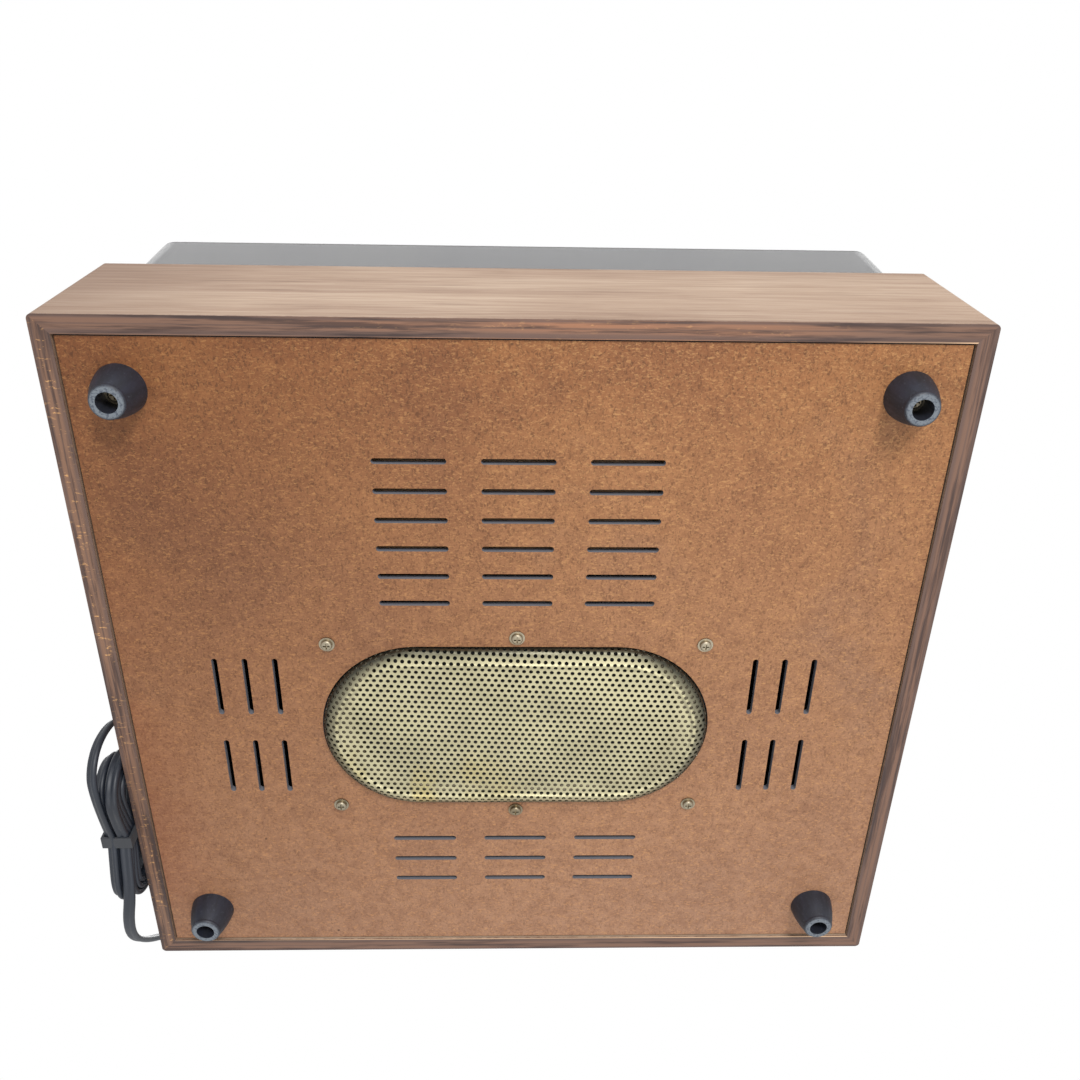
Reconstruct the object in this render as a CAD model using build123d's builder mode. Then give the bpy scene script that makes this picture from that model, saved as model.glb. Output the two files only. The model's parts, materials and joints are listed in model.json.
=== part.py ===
from build123d import *
import math
import os

# A flat, walnut-cased alarm clock radio that stands on four rubber feet.
# Millimetres. +X is to the right of someone who faces the front, +Y is the rear and +Z is up.
# The origin is the centre of the footprint, on the surface that the feet stand on.

os.makedirs("parts", exist_ok=True)

# ---- driving dimensions -------------------------------------------------------------
WIDTH = 350.0
DEPTH = 322.0
PLINTH_HEIGHT = 77.0
FOOT_HEIGHT = 13.5
BOARD = 7.3
CORNER_RADIUS = 2.0

PLINTH_TOP = FOOT_HEIGHT + PLINTH_HEIGHT
PANEL_RECESS = 1.0
PANEL_THICK = 3.0
PANEL_GAP = 0.8
PANEL_UNDER = FOOT_HEIGHT + PANEL_RECESS
PANEL_OVER = PANEL_UNDER + PANEL_THICK
INSIDE_X = WIDTH - 2 * BOARD
INSIDE_Y = DEPTH - 2 * BOARD

DECK_THICK = 3.0
DECK_GAP = 0.3
DECK_UNDER = PLINTH_TOP - DECK_THICK
BLOCK = 30.0

# vents in the base panel, on a half-inch grid
VENT_PITCH = 12.7
VENT_LENGTH = 29.0
VENT_WIDTH = 2.4
VENT_COLUMN_STEP = 42.3
FRONT_VENTS_Y = -73.1
REAR_VENTS_Y = 100.2
SIDE_VENTS_X = 115.2
SIDE_VENTS_Y = 22.5
SIDE_VENT_STEP = 43.3

# speaker opening and grille
GRILLE_LENGTH = 169.6
GRILLE_WIDTH = 85.0
GRILLE_Y = 22.6
GRILLE_GAP = 0.6
GRILLE_PROUD = 5.0
GRILLE_SHEET = 0.8
GRILLE_SHOULDER = 3.5
FLANGE_X = 184.0
FLANGE_Y = 112.0
GRILLE_SCREW_X = 79.8
GRILLE_SCREW_NEAR = 43.9
GRILLE_SCREW_MID = 47.2
GRILLE_HEAD = 2.4
GRILLE_WASHER_RADIUS = 3.3
SCREW_HEAD = 3.0
SCREW_SHANK = 1.5

# feet
FOOT_X = 146.8
FOOT_Y = 132.8
FOOT_BASE = 10.0
FOOT_TIP = 5.4
FOOT_SHOULDER = 6.9
FOOT_BORE = 4.1
FOOT_FLOOR = 4.0

# smoked cover
COVER_X = 332.0
COVER_Y = 312.0
COVER_FLARE = 2.9
COVER_WALL = 2.5
COVER_LIFT = 0.4
COVER_HEIGHT = 57.0
COVER_CORNER = 6.0
HINGE_Y = 155.0
HINGE_Z = PLINTH_TOP + 6.0
HINGE_X = 110.0
HINGE_WIDTH = 30.0
KNUCKLE = 3.0
PIN = 1.2

# console
CONSOLE_X = 300.0
CONSOLE_FRONT = -125.0
CONSOLE_REAR = 118.0
CONSOLE_LIP = 10.0
SLOPE = 12.0
SLOPE_LENGTH = 168.0
SHELL = 2.5

# clock
CLOCK_U = -85.0
BEZEL_RADIUS = 55.0
BEZEL_BORE = 49.0
DIAL_DEPTH = 4.0
LENS_SEAT = 2.0

# radio controls on the sloping panel, as (across, up the slope)
VOLUME_AT = (22.0, -34.0)
SELECTOR_AT = (68.0, -34.0)
TUNING_AT = (114.0, -34.0)
TIME_SET_AT = (-16.0, -50.0)
ALARM_SET_AT = (-16.0, -24.0)
BAND_AT = (44.0, 6.0)
ALARM_SWITCH_AT = (92.0, 6.0)
SNOOZE_AT = (CLOCK_U, -70.0)
SCALE_AT = (66.0, 47.0)
SCALE_X = 136.0
SCALE_Y = 34.0
KNOB_RADIUS = 16.0
KNOB_HEIGHT = 14.0
SHAFT = 3.0
RUN_FIT = 0.1

# mains lead, a flat twin
LEAD = 5.4
LEAD_EXIT = (-128.0, 66.0)
RELIEF = 20.0
HANK_X = -181.8
HANK_Y = 82.0
HANK_HALF = 22.0
HANK_LOOP = 18.6
HANK_WAIST = 11.6
HANK_THICK = 11.6


def save(piece, name):
    """Labels a finished piece and writes it."""
    piece.part.label = name
    export_step(piece.part, f"parts/{name}.step")


def rise(angle, along):
    return along * math.sin(math.radians(angle))


def reach(angle, along):
    return along * math.cos(math.radians(angle))


SLOPE_MIDDLE_Y = CONSOLE_FRONT + reach(SLOPE, SLOPE_LENGTH / 2)
SLOPE_MIDDLE_Z = PLINTH_TOP + CONSOLE_LIP + rise(SLOPE, SLOPE_LENGTH / 2)


def panel(out=0.0, at=(0.0, 0.0)):
    """The plane of the sloping panel, raised along its normal and moved to a place on it."""
    turn = math.radians(SLOPE)
    normal = Vector(0, -math.sin(turn), math.cos(turn))
    up_slope = Vector(0, math.cos(turn), math.sin(turn))
    middle = Vector(0, SLOPE_MIDDLE_Y, SLOPE_MIDDLE_Z)
    origin = middle + Vector(at[0], 0, 0) + up_slope * at[1] + normal * out
    return Plane(origin=origin, x_dir=(1, 0, 0), z_dir=normal)


# ---- plinth: four mitred boards on a rounded outline -----------------------------------
def board(start, end):
    """One board between two outer corners, mitred at both ends."""
    half_x = WIDTH / 2
    half_y = DEPTH / 2
    inner = ((half_x - BOARD) / half_x, (half_y - BOARD) / half_y)
    outline = [
        start,
        end,
        (end[0] * inner[0], end[1] * inner[1]),
        (start[0] * inner[0], start[1] * inner[1]),
    ]
    with BuildPart() as piece:
        with BuildSketch(Plane.XY.offset(FOOT_HEIGHT)):
            Polygon(*outline, align=None)
        extrude(amount=PLINTH_HEIGHT)
        with BuildSketch(Plane.XY.offset(FOOT_HEIGHT)):
            RectangleRounded(WIDTH, DEPTH, CORNER_RADIUS)
        extrude(amount=PLINTH_HEIGHT, mode=Mode.INTERSECT)
        if start[1] > 0 and end[1] > 0:
            with BuildSketch(Plane.XZ.offset(-DEPTH / 2)):
                with Locations(LEAD_EXIT):
                    Circle(LEAD)
            extrude(amount=BOARD, mode=Mode.SUBTRACT)
    return piece


left_front = (-WIDTH / 2, -DEPTH / 2)
right_front = (WIDTH / 2, -DEPTH / 2)
right_rear = (WIDTH / 2, DEPTH / 2)
left_rear = (-WIDTH / 2, DEPTH / 2)
save(board(left_front, right_front), "front_board")
save(board(right_front, right_rear), "right_board")
save(board(right_rear, left_rear), "rear_board")
save(board(left_rear, left_front), "left_board")

BLOCK_X = INSIDE_X / 2 - BLOCK / 2
BLOCK_Y = INSIDE_Y / 2 - BLOCK / 2
with BuildPart() as corner_blocks:
    with BuildSketch(Plane.XY.offset(PANEL_OVER)):
        with GridLocations(2 * BLOCK_X, 2 * BLOCK_Y, 2, 2):
            Rectangle(BLOCK, BLOCK)
    extrude(amount=DECK_UNDER - PANEL_OVER)
    with BuildSketch(Plane.XY.offset(PANEL_OVER)):
        with GridLocations(2 * FOOT_X, 2 * FOOT_Y, 2, 2):
            Circle(SCREW_SHANK)
    extrude(amount=12, mode=Mode.SUBTRACT)
save(corner_blocks, "corner_blocks")


# ---- base panel ---------------------------------------------------------------------
def vent_slots(columns, column_step, rows, x, y, turned):
    """A block of vent slots; turned ones run front to back."""
    if turned:
        with Locations((x, y)):
            with GridLocations(VENT_PITCH, column_step, rows, columns):
                SlotOverall(VENT_LENGTH, VENT_WIDTH, rotation=90)
    else:
        with Locations((x, y)):
            with GridLocations(column_step, VENT_PITCH, columns, rows):
                SlotOverall(VENT_LENGTH, VENT_WIDTH)


grille_screw_places = [
    (side * GRILLE_SCREW_X, GRILLE_Y + end * GRILLE_SCREW_NEAR) for side in (-1, 1) for end in (-1, 1)
] + [(0, GRILLE_Y - GRILLE_SCREW_MID), (0, GRILLE_Y + GRILLE_SCREW_MID)]

with BuildPart() as base_panel:
    with BuildSketch(Plane.XY.offset(PANEL_UNDER)):
        Rectangle(INSIDE_X - 2 * PANEL_GAP, INSIDE_Y - 2 * PANEL_GAP)
    extrude(amount=PANEL_THICK)
    with BuildSketch(Plane.XY.offset(PANEL_UNDER)):
        vent_slots(3, VENT_COLUMN_STEP, 6, 0, FRONT_VENTS_Y, False)
        vent_slots(3, VENT_COLUMN_STEP, 3, 0, REAR_VENTS_Y, False)
        vent_slots(2, SIDE_VENT_STEP, 3, -SIDE_VENTS_X, SIDE_VENTS_Y, True)
        vent_slots(2, SIDE_VENT_STEP, 3, SIDE_VENTS_X, SIDE_VENTS_Y, True)
        with Locations((0, GRILLE_Y)):
            SlotOverall(GRILLE_LENGTH, GRILLE_WIDTH)
        with Locations(*grille_screw_places):
            Circle(SCREW_SHANK)
        with GridLocations(2 * FOOT_X, 2 * FOOT_Y, 2, 2):
            Circle(SCREW_SHANK)
    extrude(amount=PANEL_THICK, mode=Mode.SUBTRACT)
save(base_panel, "base_panel")

# ---- feet, each with a washer and a screw in its bore ------------------------------------
FOOT_SEAT = PANEL_UNDER - FOOT_FLOOR
foot_places = [(side * FOOT_X, end * FOOT_Y) for side in (-1, 1) for end in (-1, 1)]
with BuildPart() as rubber_feet:
    for foot_x, foot_y in foot_places:
        with BuildSketch(Plane(origin=(foot_x, foot_y, 0), x_dir=(1, 0, 0), z_dir=(0, -1, 0))):
            with BuildLine():
                Polyline(
                    (FOOT_BASE, PANEL_UNDER),
                    (SCREW_SHANK, PANEL_UNDER),
                    (SCREW_SHANK, FOOT_SEAT),
                    (FOOT_BORE, FOOT_SEAT),
                    (FOOT_BORE, 0),
                    (FOOT_TIP, 0),
                )
                ThreePointArc((FOOT_TIP, 0), (FOOT_TIP + 1.1, 0.45), (FOOT_SHOULDER, 1.6))
                ThreePointArc((FOOT_SHOULDER, 1.6), (FOOT_SHOULDER + 1.9, 7.4), (FOOT_BASE, PANEL_UNDER))
            make_face()
        revolve(axis=Axis((foot_x, foot_y, 0), (0, 0, 1)))
save(rubber_feet, "rubber_feet")

WASHER = 0.6
with BuildPart() as foot_washers:
    with BuildSketch(Plane.XY.offset(FOOT_SEAT - WASHER)):
        with GridLocations(2 * FOOT_X, 2 * FOOT_Y, 2, 2):
            Circle(FOOT_BORE)
            Circle(SCREW_SHANK, mode=Mode.SUBTRACT)
    extrude(amount=WASHER)
save(foot_washers, "foot_washers")


def pan_screws(places, seat, head_radius, shank_length):
    """Cross-head screws driven upward, with their heads below the seat."""
    head_height = 0.62 * head_radius
    with BuildPart() as screws:
        for x, y in places:
            with BuildSketch(Plane((x, y, seat - head_height))):
                Circle(head_radius)
            extrude(amount=head_height)
        fillet(screws.edges().group_by(Axis.Z)[0], 0.55 * head_height)
        for x, y in places:
            with BuildSketch(Plane((x, y, seat))):
                Circle(SCREW_SHANK)
            extrude(amount=shank_length)
            with BuildSketch(Plane((x, y, seat - head_height))):
                Rectangle(1.2 * head_radius, 0.25 * head_radius)
                Rectangle(0.25 * head_radius, 1.2 * head_radius)
            extrude(amount=0.6 * head_height, mode=Mode.SUBTRACT)
    return screws


save(pan_screws(foot_places, FOOT_SEAT - WASHER, 2.9, WASHER + FOOT_FLOOR + PANEL_THICK + 12), "foot_screws")

# ---- speaker grille: a domed pan through the panel, with its flange behind ----------------
GRILLE_TIP = PANEL_UNDER - GRILLE_PROUD
PAN_X = GRILLE_LENGTH - 2 * GRILLE_GAP
PAN_Y = GRILLE_WIDTH - 2 * GRILLE_GAP
with BuildPart() as speaker_grille:
    with BuildSketch(Plane.XY.offset(PANEL_OVER)):
        with Locations((0, GRILLE_Y)):
            RectangleRounded(FLANGE_X, FLANGE_Y, 6)
        with Locations(*grille_screw_places):
            Circle(SCREW_SHANK, mode=Mode.SUBTRACT)
    extrude(amount=GRILLE_SHEET)
    with BuildSketch(Plane.XY.offset(GRILLE_TIP)):
        with Locations((0, GRILLE_Y)):
            SlotOverall(PAN_X, PAN_Y)
    extrude(amount=PANEL_OVER - GRILLE_TIP)
    fillet(speaker_grille.edges().group_by(Axis.Z)[0], GRILLE_SHOULDER)
    with BuildSketch(Plane.XY.offset(GRILLE_TIP + GRILLE_SHEET)):
        with Locations((0, GRILLE_Y)):
            SlotOverall(PAN_X - 2 * GRILLE_SHOULDER, PAN_Y - 2 * GRILLE_SHOULDER)
    extrude(amount=FOOT_HEIGHT, mode=Mode.SUBTRACT)
    with BuildSketch(Plane.XY.offset(GRILLE_TIP + GRILLE_SHOULDER)):
        with Locations((0, GRILLE_Y)):
            SlotOverall(PAN_X - 2 * GRILLE_SHEET, PAN_Y - 2 * GRILLE_SHEET)
    extrude(amount=FOOT_HEIGHT, mode=Mode.SUBTRACT)
save(speaker_grille, "speaker_grille")

GRILLE_WASHER = 0.7
with BuildPart() as grille_washers:
    with BuildSketch(Plane.XY.offset(PANEL_UNDER - GRILLE_WASHER)):
        with Locations(*grille_screw_places):
            Circle(GRILLE_WASHER_RADIUS)
            Circle(SCREW_SHANK, mode=Mode.SUBTRACT)
    extrude(amount=GRILLE_WASHER)
save(grille_washers, "grille_washers")

# ---- speaker on the grille's flange -------------------------------------------------------
GASKET_UNDER = PANEL_OVER + GRILLE_SHEET
GASKET = 1.5
BASKET_UNDER = GASKET_UNDER + GASKET
BASKET_DEPTH = 34.0
CONE_RIM_X = 148.0
CONE_RIM_Y = 84.0
FRAME_SHEET = 1.5
with BuildPart() as speaker_gasket:
    with BuildSketch(Plane.XY.offset(GASKET_UNDER)):
        with Locations((0, GRILLE_Y)):
            RectangleRounded(FLANGE_X - 4, FLANGE_Y - 4, 6)
            SlotOverall(PAN_X - 2 * GRILLE_SHEET, PAN_Y - 2 * GRILLE_SHEET, mode=Mode.SUBTRACT)
        with Locations(*grille_screw_places):
            Circle(SCREW_SHANK, mode=Mode.SUBTRACT)
    extrude(amount=GASKET)
save(speaker_gasket, "speaker_gasket")


def basket_solid(shrink):
    """The speaker basket's tapering body, smaller all round by shrink."""
    with BuildPart() as body:
        with BuildSketch(Plane((0, GRILLE_Y, BASKET_UNDER))):
            SlotOverall(CONE_RIM_X - 2 * shrink, CONE_RIM_Y - 2 * shrink)
        extrude(amount=BASKET_DEPTH - shrink, taper=40)
    return body.part


basket_outside = basket_solid(0)
basket_inside = basket_solid(FRAME_SHEET)
with BuildPart() as speaker_frame:
    add(basket_outside)
    add(basket_inside, mode=Mode.SUBTRACT)
    with BuildSketch(Plane.XY.offset(BASKET_UNDER)):
        with Locations((0, GRILLE_Y)):
            RectangleRounded(FLANGE_X - 4, FLANGE_Y - 4, 6)
            SlotOverall(CONE_RIM_X - 2 * FRAME_SHEET, CONE_RIM_Y - 2 * FRAME_SHEET, mode=Mode.SUBTRACT)
        with Locations(*grille_screw_places):
            Circle(SCREW_SHANK, mode=Mode.SUBTRACT)
    extrude(amount=FRAME_SHEET)
save(speaker_frame, "speaker_frame")

MAGNET_UNDER = BASKET_UNDER + BASKET_DEPTH
with BuildPart() as speaker_magnet:
    with BuildSketch(Plane((0, GRILLE_Y, MAGNET_UNDER))):
        Circle(22)
    extrude(amount=3)
    with BuildSketch(Plane((0, GRILLE_Y, MAGNET_UNDER + 3))):
        Circle(27)
    extrude(amount=10)
    chamfer(speaker_magnet.faces().sort_by(Axis.Z)[-1].edges(), 1)
save(speaker_magnet, "speaker_magnet")

with BuildPart() as speaker_cone:
    with BuildSketch(Plane((0, GRILLE_Y, BASKET_UNDER + 1))):
        SlotOverall(CONE_RIM_X - 8, CONE_RIM_Y - 8)
    extrude(amount=18, taper=52)
    with BuildSketch(Plane((0, GRILLE_Y, BASKET_UNDER))):
        SlotOverall(CONE_RIM_X - 9, CONE_RIM_Y - 9)
    extrude(amount=17, taper=52, mode=Mode.SUBTRACT)
    with BuildSketch(Plane((0, GRILLE_Y, BASKET_UNDER + 8))):
        Circle(10)
    extrude(amount=BASKET_DEPTH - 8 - FRAME_SHEET)
save(speaker_cone, "speaker_cone")

NUT_SEAT = BASKET_UNDER + FRAME_SHEET
NUT = 2.2
with BuildPart() as grille_nuts:
    with BuildSketch(Plane.XY.offset(NUT_SEAT)):
        with Locations(*grille_screw_places):
            RegularPolygon(3.1, 6)
            Circle(SCREW_SHANK, mode=Mode.SUBTRACT)
    extrude(amount=NUT)
save(grille_nuts, "grille_nuts")
grille_shank = NUT_SEAT + NUT + 1.5 - PANEL_UNDER + GRILLE_WASHER
grille_screws = pan_screws(grille_screw_places, PANEL_UNDER - GRILLE_WASHER, GRILLE_HEAD, grille_shank)
save(grille_screws, "grille_screws")

# ---- deck plate -----------------------------------------------------------------------
DECK_HOLE_X = CONSOLE_X - 24
DECK_HOLE_FRONT = CONSOLE_FRONT + 12
DECK_HOLE_REAR = CONSOLE_REAR - 12
DECK_SCREW_X = 155.0
DECK_SCREW_Y = 140.0
with BuildPart() as deck_plate:
    with BuildSketch(Plane.XY.offset(DECK_UNDER)):
        Rectangle(INSIDE_X - 2 * DECK_GAP, INSIDE_Y - 2 * DECK_GAP)
        with Locations((0, (DECK_HOLE_FRONT + DECK_HOLE_REAR) / 2)):
            Rectangle(DECK_HOLE_X, DECK_HOLE_REAR - DECK_HOLE_FRONT, mode=Mode.SUBTRACT)
        with GridLocations(2 * DECK_SCREW_X, 2 * DECK_SCREW_Y, 2, 2):
            Circle(SCREW_SHANK, mode=Mode.SUBTRACT)
    extrude(amount=DECK_THICK)
save(deck_plate, "deck_plate")

DECK_HEAD = 1.4
with BuildPart() as deck_screws:
    with BuildSketch(Plane.XY.offset(PLINTH_TOP)):
        with GridLocations(2 * DECK_SCREW_X, 2 * DECK_SCREW_Y, 2, 2):
            Circle(SCREW_HEAD)
    extrude(amount=DECK_HEAD)
    fillet(deck_screws.edges().group_by(Axis.Z)[-1], 0.6)
    with BuildSketch(Plane.XY.offset(DECK_UNDER)):
        with GridLocations(2 * DECK_SCREW_X, 2 * DECK_SCREW_Y, 2, 2):
            Circle(SCREW_SHANK)
    extrude(amount=DECK_THICK)
save(deck_screws, "deck_screws")

# ---- console: a hollow wedge that carries the clock and the controls -----------------------
SLOPE_TOP_Y = CONSOLE_FRONT + reach(SLOPE, SLOPE_LENGTH)
SLOPE_TOP_Z = PLINTH_TOP + CONSOLE_LIP + rise(SLOPE, SLOPE_LENGTH)
CLOCK_AT = (CLOCK_U, 0)
SWITCH_TRAVEL = 8.0
SWITCH_X = 7.0
SWITCH_Y = 5.0
SNOOZE_X = 58.0
SNOOZE_Y = 13.0
SMALL_KNOB = 7.0


def console_profile(inset):
    """The console's side outline, moved inward by inset except at its open foot."""
    slide = inset * math.tan(math.radians(SLOPE / 2))
    return [
        (CONSOLE_FRONT + inset, PLINTH_TOP),
        (CONSOLE_FRONT + inset, PLINTH_TOP + CONSOLE_LIP - inset * math.tan(math.radians(45 - SLOPE / 2))),
        (SLOPE_TOP_Y + slide, SLOPE_TOP_Z - inset),
        (CONSOLE_REAR - inset, SLOPE_TOP_Z - inset),
        (CONSOLE_REAR - inset, PLINTH_TOP),
    ]


with BuildPart() as console:
    with BuildSketch(Plane.YZ.offset(-CONSOLE_X / 2)):
        Polygon(*console_profile(0), align=None)
    extrude(amount=CONSOLE_X)
    top_edges = console.edges().filter_by(lambda e: e.center().Z > PLINTH_TOP + 1)
    fillet(top_edges, 2.0)
    with BuildSketch(Plane.YZ.offset(-CONSOLE_X / 2 + SHELL)):
        Polygon(*console_profile(SHELL), align=None)
    extrude(amount=CONSOLE_X - 2 * SHELL, mode=Mode.SUBTRACT)
    with BuildSketch(panel(-SHELL - 2)):
        with Locations(CLOCK_AT):
            Circle(BEZEL_RADIUS - 3)
        with Locations(SCALE_AT):
            RectangleRounded(SCALE_X, SCALE_Y, 3)
        with Locations(VOLUME_AT, SELECTOR_AT, TUNING_AT, TIME_SET_AT, ALARM_SET_AT):
            Circle(SHAFT + 0.5)
        with Locations(BAND_AT, ALARM_SWITCH_AT):
            Rectangle(SWITCH_X + SWITCH_TRAVEL, SWITCH_Y)
        with Locations(SNOOZE_AT):
            RectangleRounded(SNOOZE_X, SNOOZE_Y, 2)
    extrude(amount=SHELL + 4, mode=Mode.SUBTRACT)
save(console, "console")


# ---- clock ----------------------------------------------------------------------------
def ring(outer, inner, out, height, at):
    """A ring or tube standing on the panel plane."""
    with BuildPart() as piece:
        with BuildSketch(panel(out, at)):
            Circle(outer)
            if inner:
                Circle(inner, mode=Mode.SUBTRACT)
        extrude(amount=height)
    return piece


with BuildPart() as clock_bezel:
    with BuildSketch(panel(-DIAL_DEPTH, CLOCK_AT)):
        Circle(BEZEL_RADIUS - 3)
        Circle(BEZEL_BORE, mode=Mode.SUBTRACT)
    extrude(amount=DIAL_DEPTH)
    with BuildSketch(panel(0, CLOCK_AT)):
        Circle(BEZEL_RADIUS)
        Circle(BEZEL_BORE, mode=Mode.SUBTRACT)
    extrude(amount=4.5)
    crown = clock_bezel.faces().sort_by(Axis.Z)[-1].edges()
    chamfer(crown, 1.2)
save(clock_bezel, "clock_bezel")

save(ring(BEZEL_BORE, 0, LENS_SEAT, 1.2, CLOCK_AT), "clock_lens")
DIAL = 1.0
ALARM_TUBE = 3.0
HOUR_TUBE = 2.3
MINUTE_TUBE = 1.6
SECOND_ARBOR = 0.9
save(ring(BEZEL_RADIUS - 3, ALARM_TUBE + 0.2, -DIAL_DEPTH - DIAL, DIAL, CLOCK_AT), "clock_dial")

CASE_HALF = 31.0
CASE_DEPTH = 26.0
CASE_TOP = -DIAL_DEPTH - DIAL
CASE_WALL = 2.0
with BuildPart() as movement_case:
    with BuildSketch(panel(CASE_TOP - CASE_DEPTH, CLOCK_AT)):
        RectangleRounded(2 * CASE_HALF, 2 * CASE_HALF, 6)
    extrude(amount=CASE_DEPTH)
    with BuildSketch(panel(CASE_TOP - CASE_DEPTH + CASE_WALL, CLOCK_AT)):
        RectangleRounded(2 * (CASE_HALF - CASE_WALL), 2 * (CASE_HALF - CASE_WALL), 4)
    extrude(amount=CASE_DEPTH - 2 * CASE_WALL, mode=Mode.SUBTRACT)
    with BuildSketch(panel(CASE_TOP - CASE_WALL, CLOCK_AT)):
        Circle(ALARM_TUBE + RUN_FIT)
    extrude(amount=CASE_WALL, mode=Mode.SUBTRACT)
save(movement_case, "movement_case")

ARBOR_FOOT = CASE_TOP - 16


def hand(level, thickness, length, tail, broad, tube_outer, tube_inner, foot, angle):
    """A tapered hand on its tube or arbor, pointing up the slope turned by angle."""
    outline = [(-broad / 2, 0), (-broad / 3, -tail), (broad / 3, -tail), (broad / 2, 0), (0.3, length)]
    with BuildPart() as piece:
        with BuildSketch(panel(level, CLOCK_AT)):
            Polygon(*outline, (-0.3, length), rotation=angle, align=None)
            Circle(tube_outer + 1.2)
            if tube_inner:
                Circle(tube_inner, mode=Mode.SUBTRACT)
        extrude(amount=thickness)
        with BuildSketch(panel(foot, CLOCK_AT)):
            Circle(tube_outer)
            if tube_inner:
                Circle(tube_inner, mode=Mode.SUBTRACT)
        extrude(amount=level - foot)
    return piece


save(hand(-3.3, 0.4, 26, 4, 3.0, ALARM_TUBE, HOUR_TUBE + RUN_FIT, ARBOR_FOOT + 8, 180), "alarm_hand")
save(hand(-2.2, 0.5, 30, 6, 5.0, HOUR_TUBE, MINUTE_TUBE + RUN_FIT, ARBOR_FOOT + 4, 55), "hour_hand")
save(hand(-1.0, 0.5, 43, 8, 4.0, MINUTE_TUBE, SECOND_ARBOR + RUN_FIT, ARBOR_FOOT, -60), "minute_hand")
save(hand(0.2, 0.4, 44, 12, 1.4, SECOND_ARBOR, 0, ARBOR_FOOT - 3, 150), "second_hand")

WHEEL = 1.2
save(ring(16, ALARM_TUBE, ARBOR_FOOT + 9, WHEEL, CLOCK_AT), "alarm_wheel")
save(ring(14, HOUR_TUBE, ARBOR_FOOT + 5, WHEEL, CLOCK_AT), "hour_wheel")

with BuildPart() as clock_motor:
    with BuildSketch(panel(CASE_TOP - CASE_DEPTH - 14, CLOCK_AT)):
        Circle(20)
    extrude(amount=14)
    with BuildSketch(panel(CASE_TOP - CASE_DEPTH - 10, CLOCK_AT)):
        Rectangle(46, 24)
    extrude(amount=6)
save(clock_motor, "clock_motor")

# ---- knobs with their shafts and the units that they turn -------------------------------


def knob(at, radius, height, shaft_foot):
    """A skirted knob with fine grip flutes and a pointer groove, on its own shaft."""
    flutes = 24
    with BuildPart() as piece:
        with BuildSketch(panel(0.6, at)):
            Circle(radius)
        extrude(amount=height, taper=4)
        fillet(piece.faces().sort_by(Axis.Z)[-1].edges(), 1.0)
        with BuildSketch(panel(0.6 + 0.28 * height, at)):
            with PolarLocations(radius, flutes):
                Circle(0.08 * radius)
        extrude(amount=height, mode=Mode.SUBTRACT)
        with BuildSketch(panel(height, at)):
            with Locations((0, 0.55 * radius)):
                Rectangle(1.2, 0.6 * radius)
        extrude(amount=2, mode=Mode.SUBTRACT)
        with BuildSketch(panel(shaft_foot, at)):
            Circle(SHAFT)
        extrude(amount=0.6 - shaft_foot)
    return piece


UNIT_TOP = -SHELL
save(knob(VOLUME_AT, KNOB_RADIUS, KNOB_HEIGHT, -12), "volume_knob")
save(knob(SELECTOR_AT, KNOB_RADIUS, KNOB_HEIGHT, -12), "selector_knob")
save(knob(TUNING_AT, KNOB_RADIUS, KNOB_HEIGHT, -26), "tuning_knob")
save(knob(TIME_SET_AT, SMALL_KNOB, 9, -10), "time_set_knob")
save(knob(ALARM_SET_AT, SMALL_KNOB, 9, -10), "alarm_set_knob")

with BuildPart() as control_units:
    for unit_at, unit_radius, unit_depth in (
        (VOLUME_AT, 12, 13),
        (SELECTOR_AT, 14, 13),
        (TIME_SET_AT, 5.5, 11),
        (ALARM_SET_AT, 5.5, 11),
    ):
        with BuildSketch(panel(UNIT_TOP - unit_depth, unit_at)):
            Circle(unit_radius)
        extrude(amount=unit_depth)
        with BuildSketch(panel(UNIT_TOP - unit_depth + 1, unit_at)):
            Circle(SHAFT + RUN_FIT)
        extrude(amount=unit_depth, mode=Mode.SUBTRACT)
save(control_units, "control_units")

GANG_TOP = UNIT_TOP
GANG_DEPTH = 27.0
GANG_HALF = 18.0
with BuildPart() as tuning_gang:
    with BuildSketch(panel(GANG_TOP - GANG_DEPTH, TUNING_AT)):
        Rectangle(2 * GANG_HALF, 2 * GANG_HALF)
    extrude(amount=GANG_DEPTH)
    with BuildSketch(panel(GANG_TOP - GANG_DEPTH + 2, TUNING_AT)):
        with Locations((0, 2)):
            Rectangle(2 * GANG_HALF, 2 * GANG_HALF)
    extrude(amount=GANG_DEPTH - 4, mode=Mode.SUBTRACT)
    with BuildSketch(panel(GANG_TOP - GANG_DEPTH + 2, TUNING_AT)):
        Circle(SHAFT + RUN_FIT)
    extrude(amount=GANG_DEPTH, mode=Mode.SUBTRACT)
save(tuning_gang, "tuning_gang")

with BuildPart() as gang_rotor:
    for vane in range(4):
        with BuildSketch(panel(GANG_TOP - 6 - 4 * vane, TUNING_AT)):
            Circle(13)
            with Locations((0, -13)):
                Rectangle(28, 26, mode=Mode.SUBTRACT)
            Circle(SHAFT + 1.2)
            Circle(SHAFT, mode=Mode.SUBTRACT)
        extrude(amount=0.8)
    with BuildSketch(panel(GANG_TOP - 18, TUNING_AT)):
        Circle(SHAFT + 1.2)
        Circle(SHAFT, mode=Mode.SUBTRACT)
    extrude(amount=12.8)
save(gang_rotor, "gang_rotor")

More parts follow.
